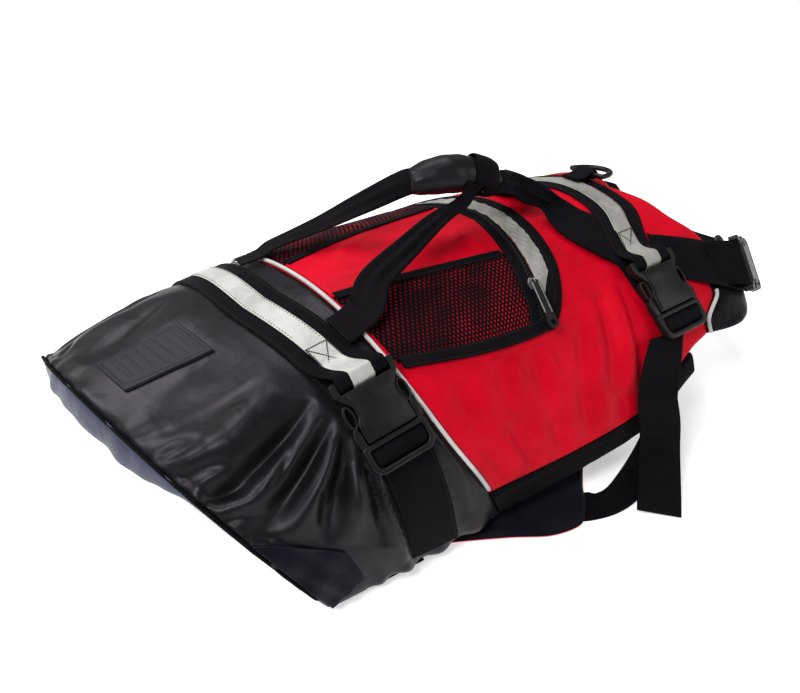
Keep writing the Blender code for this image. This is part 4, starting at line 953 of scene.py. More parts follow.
def moulded(name, outline, low, high, hole=None, bevel=0.0008, segments=2):
    # A moulded plate: a ring of corners moved to the outline, a second for the hole, bridged, thickened, rounded.
    bpy.ops.object.select_all(action="DESELECT")
    bpy.ops.mesh.primitive_circle_add(vertices=len(outline), radius=1.0, fill_type="NOTHING" if hole else "NGON")
    piece = bpy.context.object
    piece.name = piece.data.name = name
    for corner, (x, y) in zip(piece.data.vertices, outline):
        corner.co = (x, y, low)
    bpy.ops.object.mode_set(mode="EDIT")
    if hole:
        bpy.ops.mesh.select_all(action="DESELECT")
        bpy.ops.mesh.primitive_circle_add(vertices=len(hole), radius=0.5, fill_type="NOTHING")
        work = bmesh.from_edit_mesh(piece.data)
        work.verts.ensure_lookup_table()
        for corner, (x, y) in zip(work.verts[len(outline):], hole):
            corner.co = (x, y, low)
        bmesh.update_edit_mesh(piece.data)
        bpy.ops.mesh.select_all(action="SELECT")
        bpy.ops.mesh.bridge_edge_loops()
    bpy.ops.mesh.select_all(action="SELECT")
    bpy.ops.mesh.extrude_region_move(TRANSFORM_OT_translate={"value": (0.0, 0.0, high - low)})
    bpy.ops.mesh.select_all(action="SELECT")
    bpy.ops.mesh.normals_make_consistent(inside=False)
    bpy.ops.object.mode_set(mode="OBJECT")
    rounding = piece.modifiers.new("rounding", "BEVEL")
    rounding.width, rounding.segments, rounding.angle_limit = bevel, segments, math.radians(40)
    bpy.ops.object.modifier_apply(modifier="rounding")
    return piece


def tidyPlace(piece):
    # Puts an object's place, turn and size into its mesh.
    piece.data.transform(piece.matrix_world)
    piece.matrix_world = Matrix.Identity(4)


def joined(name, pieces):
    bpy.ops.object.select_all(action="DESELECT")
    for piece in pieces:
        piece.select_set(True)
    bpy.context.view_layer.objects.active = pieces[0]
    bpy.ops.object.join()
    whole = bpy.context.object
    whole.name = whole.data.name = name
    return whole


def copied(piece, name, matrix):
    copy = bpy.data.objects.new(name, piece.data.copy())
    bpy.context.scene.collection.objects.link(copy)
    copy.data.transform(matrix)
    return copy


def filleted(corners, steps=3):
    # A closed outline with each corner (x, y, radius) drawn as an arc.
    made, count = [], len(corners)
    for n, (x, y, radius) in enumerate(corners):
        here = np.array((x, y), float)
        back, ahead = (unit(np.array(corners[(n + k) % count][:2]) - here) for k in (-1, 1))
        half = math.acos(max(-1.0, min(1.0, back.dot(ahead)))) / 2
        middle = here + unit(back + ahead) * radius / math.sin(half)
        first, last = (here + way * radius / math.tan(half) - middle for way in (back, ahead))
        start = math.atan2(first[1], first[0])
        sweep = (math.atan2(last[1], last[0]) - start + math.pi) % (2 * math.pi) - math.pi
        made += [tuple(middle + radius * np.array((math.cos(turn), math.sin(turn))))
                 for turn in (start + sweep * k / steps for k in range(steps + 1))]
    return made


def bothSides(corners):
    # The right half of an outline, then its mirror image back again.
    return filleted(corners + [(-x, y, radius) for x, y, radius in corners[::-1]])


buckle = {
    # x, y and corner radius of the right half of each outline
    "sleeve": [(0.0225, -0.0134, 0.0012), (0.0224, 0.0030, 0.0060), (0.0192, 0.0085, 0.0040),
               (0.0192, 0.0165, 0.0050), (0.0262, 0.0258, 0.0040), (0.0292, 0.0295, 0.0030),
               (0.0292, 0.0398, 0.0028), (0.0236, 0.0398, 0.0014), (0.0236, 0.0288, 0.0008)],
    "face": [(0.0208, -0.0122, 0.0014), (0.0205, 0.0030, 0.0050), (0.0178, 0.0085, 0.0040), (0.0178, 0.0165, 0.0040),
             (0.0212, 0.0272, 0.0016)],
    "frame": [(0.0292, -0.0146, 0.0026), (0.0290, -0.0402, 0.0085)],
    "window": [(0.0242, -0.0192, 0.0014), (0.0242, -0.0356, 0.0056)],
    "block": [(0.0234, -0.0150, 0.0008), (0.0291, -0.0150, 0.0010), (0.0304, -0.0060, 0.0020),
              (0.0284, 0.0010, 0.0016), (0.0246, 0.0014, 0.0012), (0.0234, -0.0050, 0.0020)],
    "eye": {"x": 0.0249, "y": 0.0104, "width": 0.0048, "height": 0.0104, "wire": 0.0022},
    "bar": 0.037,
}


def makeBuckleParts():
    # Side release buckle: y runs from the adjusting frame (-) to the fixed end (+), z outwards.
    # Female half: a flat sleeve with waisted sides and two ears that carry the bar for the webbing.
    look = buckle
    sleeve = moulded("sleeve", bothSides(look["sleeve"]), 0.0006, 0.0096, bevel=0.0014, segments=3)
    face = moulded("sleeveFace", bothSides(look["face"]), 0.0090, 0.0105, bevel=0.0006)
    bpy.ops.object.select_all(action="DESELECT")
    bpy.ops.mesh.primitive_cylinder_add(vertices=16, radius=0.0022, depth=0.050, location=(0, look["bar"], 0.0048),
                                        rotation=(0, math.pi / 2, 0))
    bar = bpy.context.object
    tidyPlace(bar)
    female = joined("female", [sleeve, face, bar])

    # Male half: a rounded adjusting frame, and two spring arms that end in open eyes.
    parts = [moulded("window", bothSides(look["frame"]), 0.0008, 0.0086, bothSides(look["window"]), bevel=0.0015,
                     segments=3)]
    eye = look["eye"]
    for s in (-1, 1):
        block = filleted([(s * x, y, radius) for x, y, radius in look["block"]])
        parts.append(moulded("armBlock", block, 0.0014, 0.0082, bevel=0.0012, segments=3))
        loops = [[(s * (eye["x"] + (eye["width"] - less) * math.cos(a)),
                   eye["y"] + (eye["height"] - less) * math.sin(a))
                  for a in np.linspace(0, 2 * math.pi, 24, endpoint=False)] for less in (0.0, eye["wire"])]
        parts.append(moulded("armEye", loops[0], 0.0018, 0.0076, loops[1], bevel=0.0009, segments=3))
    return female, joined("male", parts)


webRoll = {
    # y, z, and 1 where z is measured from the strap's own top: over the frame's bar, and round the fixed bar
    "male": ((-0.0185, 0.0004, 0), (-0.0196, 0.0040, 0), (-0.0225, 0.0070, 0), (-0.0268, 0.0080, 0),
             (-0.0312, 0.0070, 0), (-0.0344, 0.0040, 0), (-0.0356, 0.0004, 0)),
    "female": ((0.0640, -0.0008, 1), (0.0580, 0.0002, 1), (0.0500, 0.0030, 0.7),
               (0.0430, 0.0072, 0), (0.0380, 0.0086, 0), (0.0330, 0.0078, 0), (0.0304, 0.0040, 0)),
    "tape": ((0.0880, 0.0014, 1), (0.0760, 0.0016, 1), (0.0640, 0.0018, 1), (0.0560, 0.0026, 1),
             (0.0500, 0.0044, 0.7), (0.0430, 0.0088, 0), (0.0378, 0.0102, 0), (0.0322, 0.0092, 0),
             (0.0292, 0.0050, 0)),
    "width": 0.0462, "thick": 0.0018,
}


def strapAt(place, y):
    # The strap's middle and the height of its surface at y in a buckle's frame.
    inward = np.linalg.inv(np.array(place["matrix"]))
    local = place["line"] @ inward[:3, :3].T + inward[:3, 3]
    order = np.argsort(local[:, 1])
    return np.interp(y, local[order, 1], local[order, 0]), np.interp(y, local[order, 1], local[order, 2])


def overStrap(place, x, y, z, follow):
    # Points in a buckle's frame, taken to the world, following the strap where they should.
    turn = np.array(place["matrix"])
    x, y = together(x, y)
    middle, top = strapAt(place, y)
    return np.stack((x + follow * middle, y, z + follow * top), -1) @ turn[:3, :3].T + turn[:3, 3]


def rollStrip(name, place, rows, width, thick, finish):
    rows = smoothRows(rows, 6)
    edges = [overStrap(place, s * width / 2, *rows.T) for s in (-1, 1)]
    return hungStrip(name, *edges, thick, finish)


def makeBuckles(places):
    halves = dict(zip(("female", "male"), makeBuckleParts()))
    for tag, place in places.items():
        label = tag.capitalize()
        for half, source in halves.items():
            name = label + half.capitalize()
            settle(copied(source, "buckle" + name, place["matrix"]), "acetalBlack", angle=40)
            rows, length = webRoll[half], {"male": 0.026, "female": 0.041}[half]
            if (tag, half) == ("neck", "female"):
                rows, length = ((0.0530, -0.0010, 1),) + rows[2:], 0.031
            strip = rollStrip("webRoll" + name, place, rows, webRoll["width"], webRoll["thick"], "webbingBlack")
        if tag != "neck":
            # The silver tape is sewn over the fold, with a crossed box behind it.
            # Behind the front buckle the tape is the copy painted darker: painted shade.
            tape = rollStrip("tapeRoll" + label, place, webRoll["tape"], lay["tapeWidth"], lay["tapeThick"],
                             "silverWorn" if tag == "front" else "silverTape")
            boxStitch(place, near=0.0490, far=0.0750, half=0.0096, height=0.0024)
    for source in halves.values():
        bpy.data.objects.remove(source, do_unlink=True)


def girthLine(name, start, end, count):
    girth = np.linspace(start, end, count)
    return lineAt(name, girth), girth


def buckleFrame(station, girth, lift, across=None):
    ahead, around, outward = formFrame(station, girth)
    return placedOn(skin(station, girth, lift), across(ahead, around, outward) if across else ahead, outward)


def boxStitch(place, near, far, half, height):
    # A sewn box with its cross, on the tape behind a buckle.
    corners = ((-half, near), (half, near), (half, far), (-half, far))
    share = np.linspace(0, 1, 14)
    for a, b in ((0, 1), (3, 2), (0, 2), (1, 3), (0, 3), (1, 2)):
        x, y = (corners[a][k] * (1 - share) + corners[b][k] * share for k in (0, 1))
        tall = height + 0.0020 * ramp(0.056 - y, 0, 0.007)
        sewLine(overStrap(place, x, y, tall, 1), np.tile(np.array(place["matrix"])[:3, 2], (14, 1)), "threadBrown",
                0.0020, 0.0025, 0.00064)


def edgeStitches(station, girth, width, height, under=None):
    # Two rows of stitches, just inside the edges of a laid band.
    stations, girths = acrossPath(station, girth, (-0.5 * width, 0.5 * width))
    for s, g in zip(stations.T, girths.T):
        sewOn(s, g, height + (under(s, g) if under else 0.0))


def layTape(strap, start, end, count, finish):
    # The silver tape on a girth strap, with the two rows of stitches that hold it.
    tape = layBand(strap + "Tape", *girthLine(strap, start, end, count), lay["tapeWidth"], lay["second"] + lay["gap"],
                   lay["tapeThick"], finish)
    edgeStitches(*girthLine(strap, start, end, 200), lay["tapeWidth"] - 0.003, lay["second"] + 0.0013)


def strapPlace(strap, middle):
    # The frame of the buckle on a girth strap, and the strap's own line below it.
    return {"matrix": buckleFrame(lineAt(strap, middle), middle, 0.0030),
            "line": skin(*girthLine(strap, -0.75, -0.05, 200), lay["first"] + lay["webThick"])}


def layBelly(name, edges, reach):
    # Webbing flat on the floor below the body, from one side to the other.
    y = np.linspace(-reach, reach, 40)
    strip = hungStrip(name, *(np.stack((np.full(40, x), y, np.full(40, 0.0009)), -1) - centre for x in edges))


def makeRearGirth(places):
    web = layBand("girthRearWeb", *girthLine("girthRear", -0.96, 0.96, 300), lay["webWidth"], lay["first"],
                  lay["webThick"], "webbingBlack", columns=13)
    layTape("girthRear", -0.225, 0.36, 160, "silverTape")
    for start, end in ((-0.34, 0.94), (-0.94, -0.62)):
        edgeStitches(*girthLine("girthRear", start, end, 200), lay["webWidth"] - 0.006, lay["second"])
    places["rear"] = strapPlace("girthRear", -0.492)
    x = formPoint(-0.190, 1.0)[0] + 0.040 + centre[0]
    layBelly("girthRearBelly", (x - 0.024, x + 0.024), 0.182)


# The edges of each lower front strap below the shell, and the middle and turn of the near one's free end;
# measured from the middle of the floor.
lowerRoute = (
    (0.1600, 0.1905, 0.0660, 0.1120, 0.1925, 0.0740), (0.1530, 0.2000, 0.0460, 0.1040, 0.1985, 0.0600),
    (0.1380, 0.2100, 0.0260, 0.0940, 0.2020, 0.0430), (0.1080, 0.2235, 0.0090, 0.0770, 0.2055, 0.0235),
    (0.0763, 0.2315, 0.0030, 0.0560, 0.2080, 0.0072), (0.0460, 0.2335, 0.0012, 0.0450, 0.2045, 0.0012),
    (0.0162, 0.2256, 0.0009, 0.0410, 0.2000, 0.0009), (-0.0060, 0.2100, 0.0009, 0.0380, 0.1985, 0.0009),
    (-0.0120, 0.1975, 0.0009, 0.0360, 0.1975, 0.0009))
tailRoute = (
    (0.1260, -0.1885, 0.1010, -0.26), (0.1160, -0.1985, 0.0810, -0.33), (0.1150, -0.2085, 0.0570, -0.40),
    (0.1100, -0.2180, 0.0340, -0.46), (0.0975, -0.2340, 0.0160, -0.50), (0.0780, -0.2550, 0.0030, -0.52))


def makeFrontGirth(places):
    station, girth = girthLine("girthFront", -0.60, 0.60, 220)
    # The strap's far end bends back a little, down to the lower strap.
    turn = np.linspace(0.603, 0.654, 20)
    station = np.concatenate((station, station[-1] - 0.0075 * ((turn - 0.60) / 0.054) ** 1.3))
    web = layBand("girthFrontWeb", station, np.concatenate((girth, turn)), lay["webWidth"], lay["first"],
                  lay["webThick"], "webbingBlack", columns=13)
    # The front strap's tape is the copy painted darker: painted shade.
    layTape("girthFront", -0.255, 0.40, 180, "silverWorn")
    edgeStitches(*girthLine("girthFront", -0.36, 0.58, 200), lay["webWidth"] - 0.006, lay["second"])
    places["front"] = strapPlace("girthFront", -0.52)
    rise = lay["first"] + lay["webThick"] / 2
    for sign, side in sides:
        laid = [tuple(skin(s, g, rise + up) + centre) + tuple(skin(s - 0.047, g + 0.004, rise + up) + centre)
                for s, g, up in ((0.187, 0.650, 0.0002), (0.184, 0.685, 0.0010), (0.177, 0.725, 0.0030))]
        route = smoothRows(tuple(laid) + lowerRoute, 8)
        left, right = (route[:, k:k + 3] * (1, sign, 1) for k in (0, 3))
        for edge in (left, right):
            edge[:, 2] = np.maximum(edge[:, 2], 0.0011)
        if side == "Near":
            # The near one is folded in at its front, behind the free end.
            left = left + (right - left) * 0.36 * ramp(left[:, 2], 0.030, 0.03)[:, None]
        strip = hungStrip("girthFrontLower" + side, left - centre, right - centre, columns=9)
    layBelly("girthFrontBelly", (-0.0120, 0.0360), 0.1971)
    makeTail()


def squared(across, route):
    # Turns the crosswise directions square to the run of a route.
    tangent = unit(np.gradient(route, axis=0))
    return unit(across - tangent * (across * tangent).sum(-1, keepdims=True))


def makeTail():
    rows = smoothRows(tailRoute, 8)
    points, turns = rows[:, :3], rows[:, 3]
    across = squared(np.stack((np.ones(len(rows)), turns, np.zeros(len(rows))), -1), points)
    half = lay["webWidth"] * 0.42
    points = points - (0.0030, 0.0, 0.0)
    edges = np.concatenate((points - across * half, points + across * half), 1)
    start = np.concatenate((skin(0.128, -0.628, 0.0060) + centre, skin(0.172, -0.656, 0.0055) + centre))
    edges = np.concatenate((smoothRows([start, edges[0], edges[8]], 8)[:8], edges))
    count = len(edges)
    tail = hungStrip("girthFrontTail", edges[:, :3] - centre, edges[:, 3:] - centre, columns=11,
                     cup=np.linspace(0.0, 0.0022, count) * np.sin(np.linspace(0, 3.1, count)))


def makeNeckStrap(places):
    def aheadOfGirth(station, girth):
        return np.maximum(station, lineAt("girthFront", girth) + lay["webWidth"] / 2 + 0.0018), girth

    def under(line):
        return lay["neck"] + chestHeight(line, -lineAt("neck", line)) + lay["webThick"]
    station = np.linspace(0.184, 0.570, 220)
    web = layBand("neckWeb", station, -lineAt("neck", station), lay["webWidth"], lay["neck"], lay["webThick"],
                  "webbingBlack", chestHeight, aheadOfGirth, columns=13)
    line = np.linspace(0.225, 0.262, 60)
    edgeStitches(line, -lineAt("neck", line), lay["webWidth"] - 0.006, lay["neck"] + lay["webThick"] + 0.0001,
                 chestHeight)
    middle = 0.287
    slope = (lineAt("neck", middle + 0.01) - lineAt("neck", middle - 0.01)) / 0.02
    line = np.linspace(0.20, 0.40, 120)
    places["neck"] = {
        "matrix": buckleFrame(middle, -lineAt("neck", middle), under(middle) + 0.0025,
                              lambda ahead, around, outward: np.cross(outward, ahead - around * slope)),
        "line": skin(line, -lineAt("neck", line), under(line))}


handle = {
    # the grip's ends measured from the middle of the floor, its radius, and its rise at the middle
    "gripRear": (-0.027, 0.008, 0.250), "gripFront": (0.060, -0.011, 0.2385), "gripRadius": 0.018, "gripRise": 0.007,
    # the rear straps' widths, and the share of each that is folded in where it meets the grip
    "width": {"Near": 0.031, "Far": 0.026}, "fold": {"Near": 0.58, "Far": 0.06},
    # each rear strap's foot: station, girth and rise above the seam's cloth
    "rearFoot": ((-0.160, 0.216, 0.0), (-0.149, 0.213, 0.0004), (-0.138, 0.208, 0.0022), (-0.127, 0.202, 0.0064)),
    # the front straps as they leave the grip: x, distance from the middle, z, width and turn
    "frontHung": ((0.078, 0.011, 0.2300, 0.0245, 0.2), (0.093, 0.014, 0.2205, 0.0275, 0.5),
                  (0.108, 0.017, 0.2115, 0.0310, 0.8)),
    # and as they lie on the shell: girth and station of the upper edge, then of the lower one, and rise
    "frontFoot": ((0.060, 0.140, 0.080, 0.1060, 0.0060), (0.085, 0.146, 0.120, 0.1045, 0.0025),
                  (0.110, 0.151, 0.160, 0.105, 0), (0.135, 0.156, 0.200, 0.107, 0), (0.152, 0.170, 0.240, 0.112, 0),
                  (0.166, 0.170, 0.280, 0.119, 0), (0.180, 0.170, 0.320, 0.127, 0), (0.192, 0.170, 0.358, 0.136, 0),
                  (0.202, 0.170, 0.385, 0.170, 0)),
}


def makeHandle():
    look = handle
    rear, front = np.array(look["gripRear"]), np.array(look["gripFront"])
    axis = unit(front - rear)
    side = unit(np.cross((0.0, 0.0, 1.0), axis))
    up = np.cross(axis, side)
    radius = look["gripRadius"]

    def gripSize(share):
        return radius * (0.50 + 0.52 * np.sin(math.pi * share ** 0.85) ** 0.62)

    def gripLine(share):
        return rear + (front - rear) * share + up * look["gripRise"] * np.sin(share * math.pi)

    # The grip: a padded sleeve wrapped round the webbing, sewn shut below.
    share = np.linspace(0, 1, 71)[:, None]
    angle = np.linspace(0, 2 * math.pi, 64, endpoint=False)[None, :]
    end = np.minimum(share, 1 - share)
    pulls = 0.0004 * np.sin(angle * 7 + 1.2) * np.clip(1 - end / 0.30, 0, 1)
    wraps = 0.0002 * np.sin(share * 34 + np.sin(angle + 0.6) * 2.2) * ramp(end, 0, 0.10)
    seam = -0.0022 * np.exp(-(((angle - 4.4) / 0.10) ** 2))
    size = gripSize(share) + pulls + wraps + seam
    loop = side * (np.cos(angle) * 1.03)[..., None] + up * (np.sin(angle) * 0.94)[..., None]
    outer, inner = ((gripLine(share)[:, None] + loop * out - centre).transpose(1, 0, 2)
                    for out in (size[..., None], 0.0010))
    grip = clothPiece("handleGrip", outer, inner, share.T * 0.09, angle.T * radius, "nylonBlack", closed=True)

    # The near webbing carries on beside and over the grip; the far one ends in it.
    def beside(share, out, rise):
        return rear + (front - rear) * share - side * out + up * rise
    wrap = radius * 1.05 + 0.0034
    hung = {
        "Far": [(-0.096, 0.046, 0.2120), (-0.060, 0.027, 0.2320), rear - axis * 0.0016, rear + axis * 0.012],
        "Near": [(-0.100, -0.0545, 0.2045), (-0.062, -0.0440, 0.2180), (-0.023, -0.0335, 0.2300),
                 beside(0.52, wrap, -0.010), beside(0.62, wrap * 0.86, 0.006)],
    }
    lift = lay["third"] + lay["webThick"] / 2
    for sign, label in sides:
        around = formFrame(-0.14, sign * 0.21)[1]
        ends = np.array((0.0, 0.75, 0.66)) if label == "Far" else -axis
        laid = [skin(u, sign * g, lift + rise) + centre for u, g, rise in look["rearFoot"]]
        route = smoothRows(laid + hung[label], 8)
        part = np.clip((np.arange(len(route)) - 24) / (len(route) - 25), 0, 1)[:, None]
        turned = np.minimum(1.0, part / 0.75) ** 1.5
        width = look["width"][label] * (1 - look["fold"][label] * ramp(part, 0.14, 0.60))
        across = squared(unit(around)[None] * (1 - turned) + ends[None] * turned, route) * width / 2
        strip = hungStrip("handleRear" + label, route - across - centre, route + across - centre, columns=15,
                          cup=0.0050 * part[:, 0] ** 2, pleat=0.0009 * np.sin(ramp(part[:, 0], 0, 1 / 1.3) * math.pi))
        # Sewn down with a box at its foot.
        foot = [skin(u, sign * g, lift + 0.0012) for u, g in ((-0.159, 0.176), (-0.159, 0.256), (-0.147, 0.253),
                                                              (-0.147, 0.173))]
        outward = formFrame(-0.148, sign * 0.213)[2]
        for a, b in ((0, 1), (1, 2), (2, 3), (3, 0), (0, 2), (1, 3)):
            sewLine(np.linspace(foot[a], foot[b], 10), np.tile(outward, (10, 1)))

    lift = lay["second"] + 0.0006 + lay["webThick"] / 2
    for sign, label in sides:
        start = front + axis * 0.0042 + side * sign * 0.0085
        slant = np.array((0.0, -sign * 0.6, 0.8))
        rows = [(start - axis * 0.014 - slant * 0.0095, start - axis * 0.014 + slant * 0.0095),
                (start - slant * 0.0110, start + slant * 0.0110)]
        for x, out, z, width, turned in look["frontHung"]:
            across = unit(slant * (1 - turned) + np.array((1.0, 0.0, 0.0)) * turned) * width / 2
            place = np.array((x, sign * out - 0.003, z))
            rows.append((place - across, place + across))
        edge = lay["webWidth"] / 2 + 0.0034    # they stop short of the girth strap
        for upper, upperStation, lower, lowerStation, rise in look["frontFoot"]:
            upperStation = min(upperStation, lineAt("girthFront", upper) - edge)
            lowerStation = min(lowerStation, lineAt("girthFront", lower) - edge)
            rows.append((skin(lowerStation, sign * lower, lift + rise) + centre,
                         skin(upperStation, sign * upper, lift + rise) + centre))
        route = smoothRows([np.concatenate(row) for row in rows], 8)
        part = np.linspace(0, 1, len(route))
        pleat = 0.0016 * np.sin(ramp(part, 0, 0.62) * math.pi) ** 0.5 * (part < 0.62)
        strip = hungStrip("handleFront" + label, route[:, :3] - centre, route[:, 3:] - centre, columns=17,
                          cup=0.0012 * (1 - part), pleat=pleat)

    # Two short bindings of webbing round the grip's front end.
    turns = np.linspace(-1.9, 3.3, 60)
    for n, (near, far, out) in enumerate(((0.66, 0.87, 0.0014), (0.78, 0.965, 0.0024))):
        def bound(share):
            turned = (turns + math.pi * 0.5 * n)[:, None]
            away = (side * np.cos(turned) + up * np.sin(turned)) * (gripSize(share) + out)
            return gripLine(share + 0.03 * np.sin(turned * 1.3 + n)) + away - centre
        strip = hungStrip("gripBinding%d" % (n + 1), bound(near), bound(far), columns=9, cup=0.0012)


dRing = {
    "station": 0.212, "girth": 0.105, "rise": 0.0082, "radius": 0.023, "wire": 0.0028, "stretch": 1.17,
    "restTurn": 3.0, "keeperHalf": 0.0125,
    # the keeper's way along the strap and out from the shell
    "keeper": ((-0.0240, -0.0030), (-0.0120, -0.0034), (-0.0040, -0.0040), (0.0010, -0.0041), (0.0040, -0.0016),
               (0.0038, 0.0020), (0.0010, 0.0041), (-0.0030, 0.0034), (-0.0090, 0.0004), (-0.0150, -0.0012),
               (-0.0240, -0.0012)),
}


def makeRing():
    # D-ring in its webbing keeper, ahead of the front strap.
    look = dRing
    ahead, _, outward = formFrame(look["station"], look["girth"])
    seat = placedOn(skin(look["station"], look["girth"], look["rise"]), ahead, outward)
    bpy.ops.object.select_all(action="DESELECT")
    bpy.ops.mesh.primitive_torus_add(major_segments=72, minor_segments=14, major_radius=look["radius"],
                                     minor_radius=look["wire"])
    piece = bpy.context.object
    piece.name = piece.data.name = "dRing"
    # The near half of the ring is drawn flat, which makes the D.
    for corner in piece.data.vertices:
        x, y, _ = corner.co
        if x < 0:
            corner.co.x = -(math.hypot(x, y) - look["radius"]) * abs(math.cos(math.atan2(y, x))) ** 0.3
        else:
            corner.co.x = x * look["stretch"]
    piece.data.transform(seat @ Matrix.Rotation(math.radians(look["restTurn"]), 4, "Y"))
    settle(piece, "acetalBlack", body="d_ring", angle=60)
    # Webbing folded round the ring's straight side; both its ends run under the strap.
    rows = smoothRows(look["keeper"], 5)
    turn = np.array(seat @ Matrix.Rotation(math.radians(90), 4, "X"))
    edges = [np.stack((*rows.T, np.full(len(rows), s * look["keeperHalf"])), -1) @ turn[:3, :3].T + turn[:3, 3]
             for s in (-1, 1)]
    keeper = hungStrip("ringKeeper", *edges, lay["cloth"])


# Start and length along the body, real width, middle girth, slant and width in girth; then the relief.
patch = {"start": -0.308, "length": 0.068, "metres": 0.035, "girth": 0.055, "slant": -0.055, "width": 0.120,
         "thick": 0.0022, "border": 0.0030, "step": 0.0006, "ribPitch": 0.0080, "ribHalf": 0.0012, "inset": 0.06}


def makePatch():
    # A plain rubber patch with a raised border and a few level ribs.
    look = patch
    length, step = look["length"], look["step"]

    def place(r, c):
        return look["start"] + r * length, look["girth"] + look["slant"] * r + (c - 0.5) * look["width"]

    r, c = together(*grid(70, 50))
    station, girth = place(r, c)
    edge = np.minimum(np.minimum(r, 1 - r) * length, np.minimum(c, 1 - c) * look["metres"])
    border = ramp(edge, 0, step) * (1 - 0.5 * ramp(edge, look["border"], step))
    ribs = np.abs((r * length) % look["ribPitch"] - look["ribPitch"] / 2) < look["ribHalf"]
    height = look["thick"] * (0.25 + 0.75 * np.clip(border + 0.28 * ribs * (edge > 2 * look["border"]), 0, 1))
    base = lay["first"] + rearLift(station, girth)
    piece = clothPiece("rearPatch", skin(station, girth, base + height), skin(station, girth, base),
                       c * look["metres"], r * length, "patchRubber")
    inset = look["inset"]
    loop = [(inset / 2, inset), (1 - inset / 2, inset), (1 - inset / 2, 1 - inset), (inset / 2, 1 - inset)]
    for (a, b), (d, e) in zip(loop, loop[1:] + loop[:1]):
        s, g = place(np.linspace(a, d, 30), np.linspace(b, e, 30))
        sewOn(s, g, lay["first"] + rearLift(s, g) + look["thick"])


# x and half width of the belly panel as it lies, from the middle of the floor
bellyOutline = ((-0.150, 0.150), (-0.125, 0.170), (-0.095, 0.184), (-0.055, 0.204), (-0.025, 0.221), (0.000, 0.2265),
                (0.014, 0.2230), (0.028, 0.2100), (0.040, 0.1930), (0.062, 0.1700))


def makeBelly():
    # The belly panel lies slack on the floor: blue-black lining up, the red shell below it.
    outline = smoothRows(bellyOutline, 8)
    x, reach = outline[:, :1], outline[:, 1:]
    c = np.linspace(-1, 1, 121)[None, :]
    x, y = together(x, c * reach)
    low = 0.0021
    creases = (0.0009 * np.sin(x * 40 + y * 17) + 0.0008 * np.sin(y * 31 - x * 22 + 1.1)
               + 0.0006 * np.sin(y * 58 + x * 49))
    top = low + 0.0040 + 0.003 * (1 - c**4) + np.clip(creases, -0.0012, 0.0030) * (1 - c**8)
    top = low + 0.0010 + (top - low - 0.0010) * np.sqrt(ramp((1 - np.abs(c)) * reach, 0, 0.004))
    floorSide, between, upper = (np.stack((x, y, z + 0 * x), -1) - centre for z in (low, low + 0.0008, top))
    # The panel's lining is the copy painted darker: painted shade.
    for name, high, under, finish in (("bellyPanel", upper, between + (0, 0, 0.0002), "liningDark"),
                                      ("bellyShell", between, floorSide, "nylonRed")):
        clothPiece(name, high, under, y, x, finish)
    for sign in (-1, 1):
        edge = np.stack((outline[:, 0], sign * outline[:, 1] * 0.985, np.full(len(outline), 0.0062)), -1) - centre
        sewLine(edge, np.tile((0.0, 0.0, 1.0), (len(edge), 1)))


slider = {"girth": -0.325, "slant": 0.22, "height": 0.0028, "bridge": 0.0034, "bridgeWire": 0.0008, "hinge": 0.0050,
          "length": 0.042, "railApart": 0.0034, "railWire": 0.0009, "railLength": 0.033,
          "outline": [(0.0042, -0.0060, 0.0010), (0.0055, 0.0010, 0.0020), (0.0030, 0.0060, 0.0012)]}


def makeZipSlider():
    look = slider
    station, girth = lineAt("zip", look["girth"]), look["girth"]
    ahead, around, outward = formFrame(station, girth)
    matrix = placedOn(skin(station, girth, clothTop + lay["gap"]), unit(ahead) - unit(around) * look["slant"],
                      outward)
    body = moulded("zipSlider", bothSides(look["outline"]), 0.0, look["height"], bevel=0.0007)
    bpy.ops.object.select_all(action="DESELECT")
    bpy.ops.mesh.primitive_torus_add(major_segments=24, minor_segments=8, major_radius=look["bridge"],
                                     minor_radius=look["bridgeWire"], location=(0, 0.0008, 0.0026),
                                     rotation=(0, math.pi / 2, 0))
    bridge = bpy.context.object
    tidyPlace(bridge)
    whole = joined("zipSlider", [body, bridge])
    whole.data.transform(matrix)
    settle(whole, "zincPlated", angle=40)

    # The pull: a pressed frame with a cord through it, and a moulded ring on its end.
    hinge = matrix @ Matrix.Translation((0.0, 0.0, look["hinge"]))
    length = look["length"]
    outline = bothSides([(0.0034, 0.0012, 0.0010), (0.0036, -0.0120, 0.0100), (0.0040, -0.0340, 0.0040),
                         (0.0052, -length, 0.0030), (0.0042, -length - 0.0070, 0.0036)])
    hole = [(0.0024 * math.cos(a), -length - 0.0015 + 0.0034 * math.sin(a))
            for a in np.linspace(0, 2 * math.pi, len(outline), endpoint=False)]
    pull = moulded("zipPull", outline, -0.0012, 0.0012, hole, bevel=0.0005)
    pull.data.transform(hinge)
    settle(pull, "coilNylon", body="zip_pull", angle=40)
    rails = []
    for s in (-1, 1):
        bpy.ops.object.select_all(action="DESELECT")
        bpy.ops.mesh.primitive_cylinder_add(vertices=10, radius=look["railWire"], depth=look["railLength"],
                                            location=(s * look["railApart"], -0.0175, 0.0008),
                                            rotation=(math.pi / 2, 0, 0))
        tidyPlace(bpy.context.object)
        rails.append(bpy.context.object)
    rail = joined("zipPullRails", rails)
    rail.data.transform(hinge)
    settle(rail, "zincPlated", body="zip_pull", angle=50)


stage = {
    "camera": (-0.39975, -0.52555, 0.5504), "azimuth": -32.5, "elevation": 36.2, "lens": 35.775,
    # Soft boxes: a broad key over the camera's left shoulder, a fill, a strip from behind, and a top light;
    # the place, the power and the size of each.
    "lights": (("key", (-1.4, -0.5, 1.9), 38.0, 0.8), ("fill", (1.5, -1.6, 1.2), 16.0, 1.2),
               ("back", (0.3, 0.9, 1.9), 16.0, 0.9), ("top", (-1.3, 1.5, 1.9), 38.0, 1.0)),
}


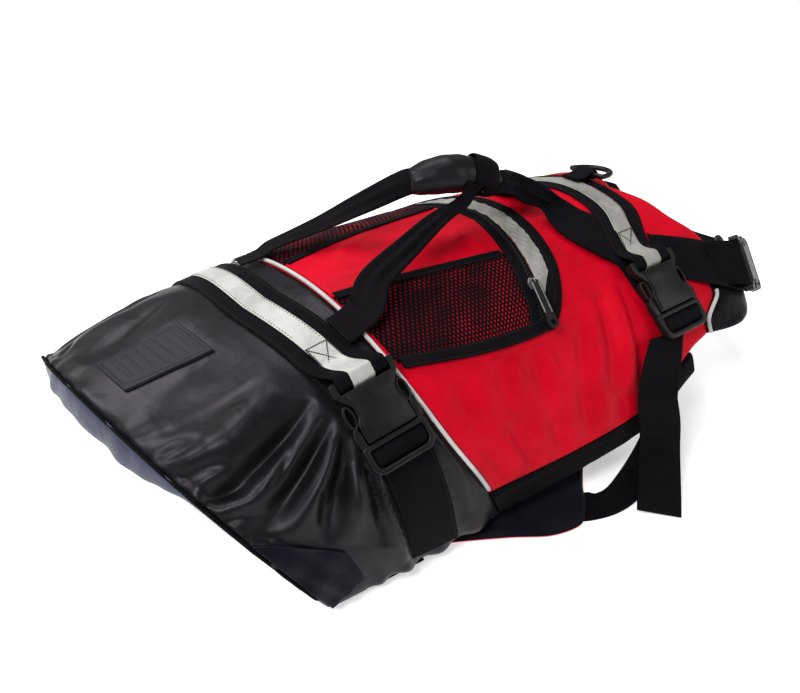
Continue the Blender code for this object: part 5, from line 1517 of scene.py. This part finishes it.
def placed(name, data, place, turn):
    item = bpy.data.objects.new(name, data)
    item.location, item.rotation_euler = place, turn
    bpy.context.scene.collection.objects.link(item)
    return item


def makeStage():
    scene, white = bpy.context.scene, (1.0, 1.0, 1.0, 1.0)
    data = bpy.data.cameras.new("camera")
    data.lens, data.sensor_width, data.clip_start = stage["lens"], 36.0, 0.01
    turn = (math.radians(90 - stage["elevation"]), 0.0, math.radians(stage["azimuth"]))
    scene.camera = placed("camera", data, stage["camera"], turn)

    bpy.ops.object.select_all(action="DESELECT")
    bpy.ops.mesh.primitive_plane_add(size=14, location=(0, 0, 0))
    floor = bpy.context.object
    floor.name = "floor"
    paper = bpy.data.materials.new("paleFloor")
    paper.use_nodes = True
    feed(paper.node_tree.nodes["Principled BSDF"], {
        "Base Color": hexColour("#f1f1f0"), "Roughness": 0.9, "Specular IOR Level": 0.1, "Emission Color": white,
        "Emission Strength": 0.45})
    floor.data.materials.append(paper)

    for name, place, power, size in stage["lights"]:
        lamp = bpy.data.lights.new(name, "AREA")
        lamp.energy, lamp.size = power, size
        placed(name, lamp, place, (-Vector(place)).to_track_quat("-Z", "Y").to_euler())
    world = bpy.data.worlds.new("softRoom")
    world.use_nodes = True
    # The room itself is dim, against a white backdrop.
    ray = addNode(world.node_tree, "ShaderNodeLightPath").outputs["Is Camera Ray"]
    dimmed = addNode(world.node_tree, "ShaderNodeMapRange", {"Value": ray, "To Min": 0.24, "To Max": 1.0})
    feed(world.node_tree.nodes["Background"], {"Color": white, "Strength": dimmed.outputs[0]})
    scene.world = world
    scene.view_settings.view_transform = "Standard"


def build():
    makeStage()
    makeRearShell()
    makeBodyShell()
    makeBindings()
    makeChest()
    print("shells made")
    makeRearTrim()
    makePiping()
    makePocket()
    makePatch()
    makeBelly()
    print("trim, pocket and belly panel made")
    places = {}
    makeRearGirth(places)
    makeFrontGirth(places)
    makeNeckStrap(places)
    makeBuckles(places)
    print("webbing and buckles made")
    makeHandle()
    makeRing()
    makeThreads()
    print("handle, ring and stitches made")


build()
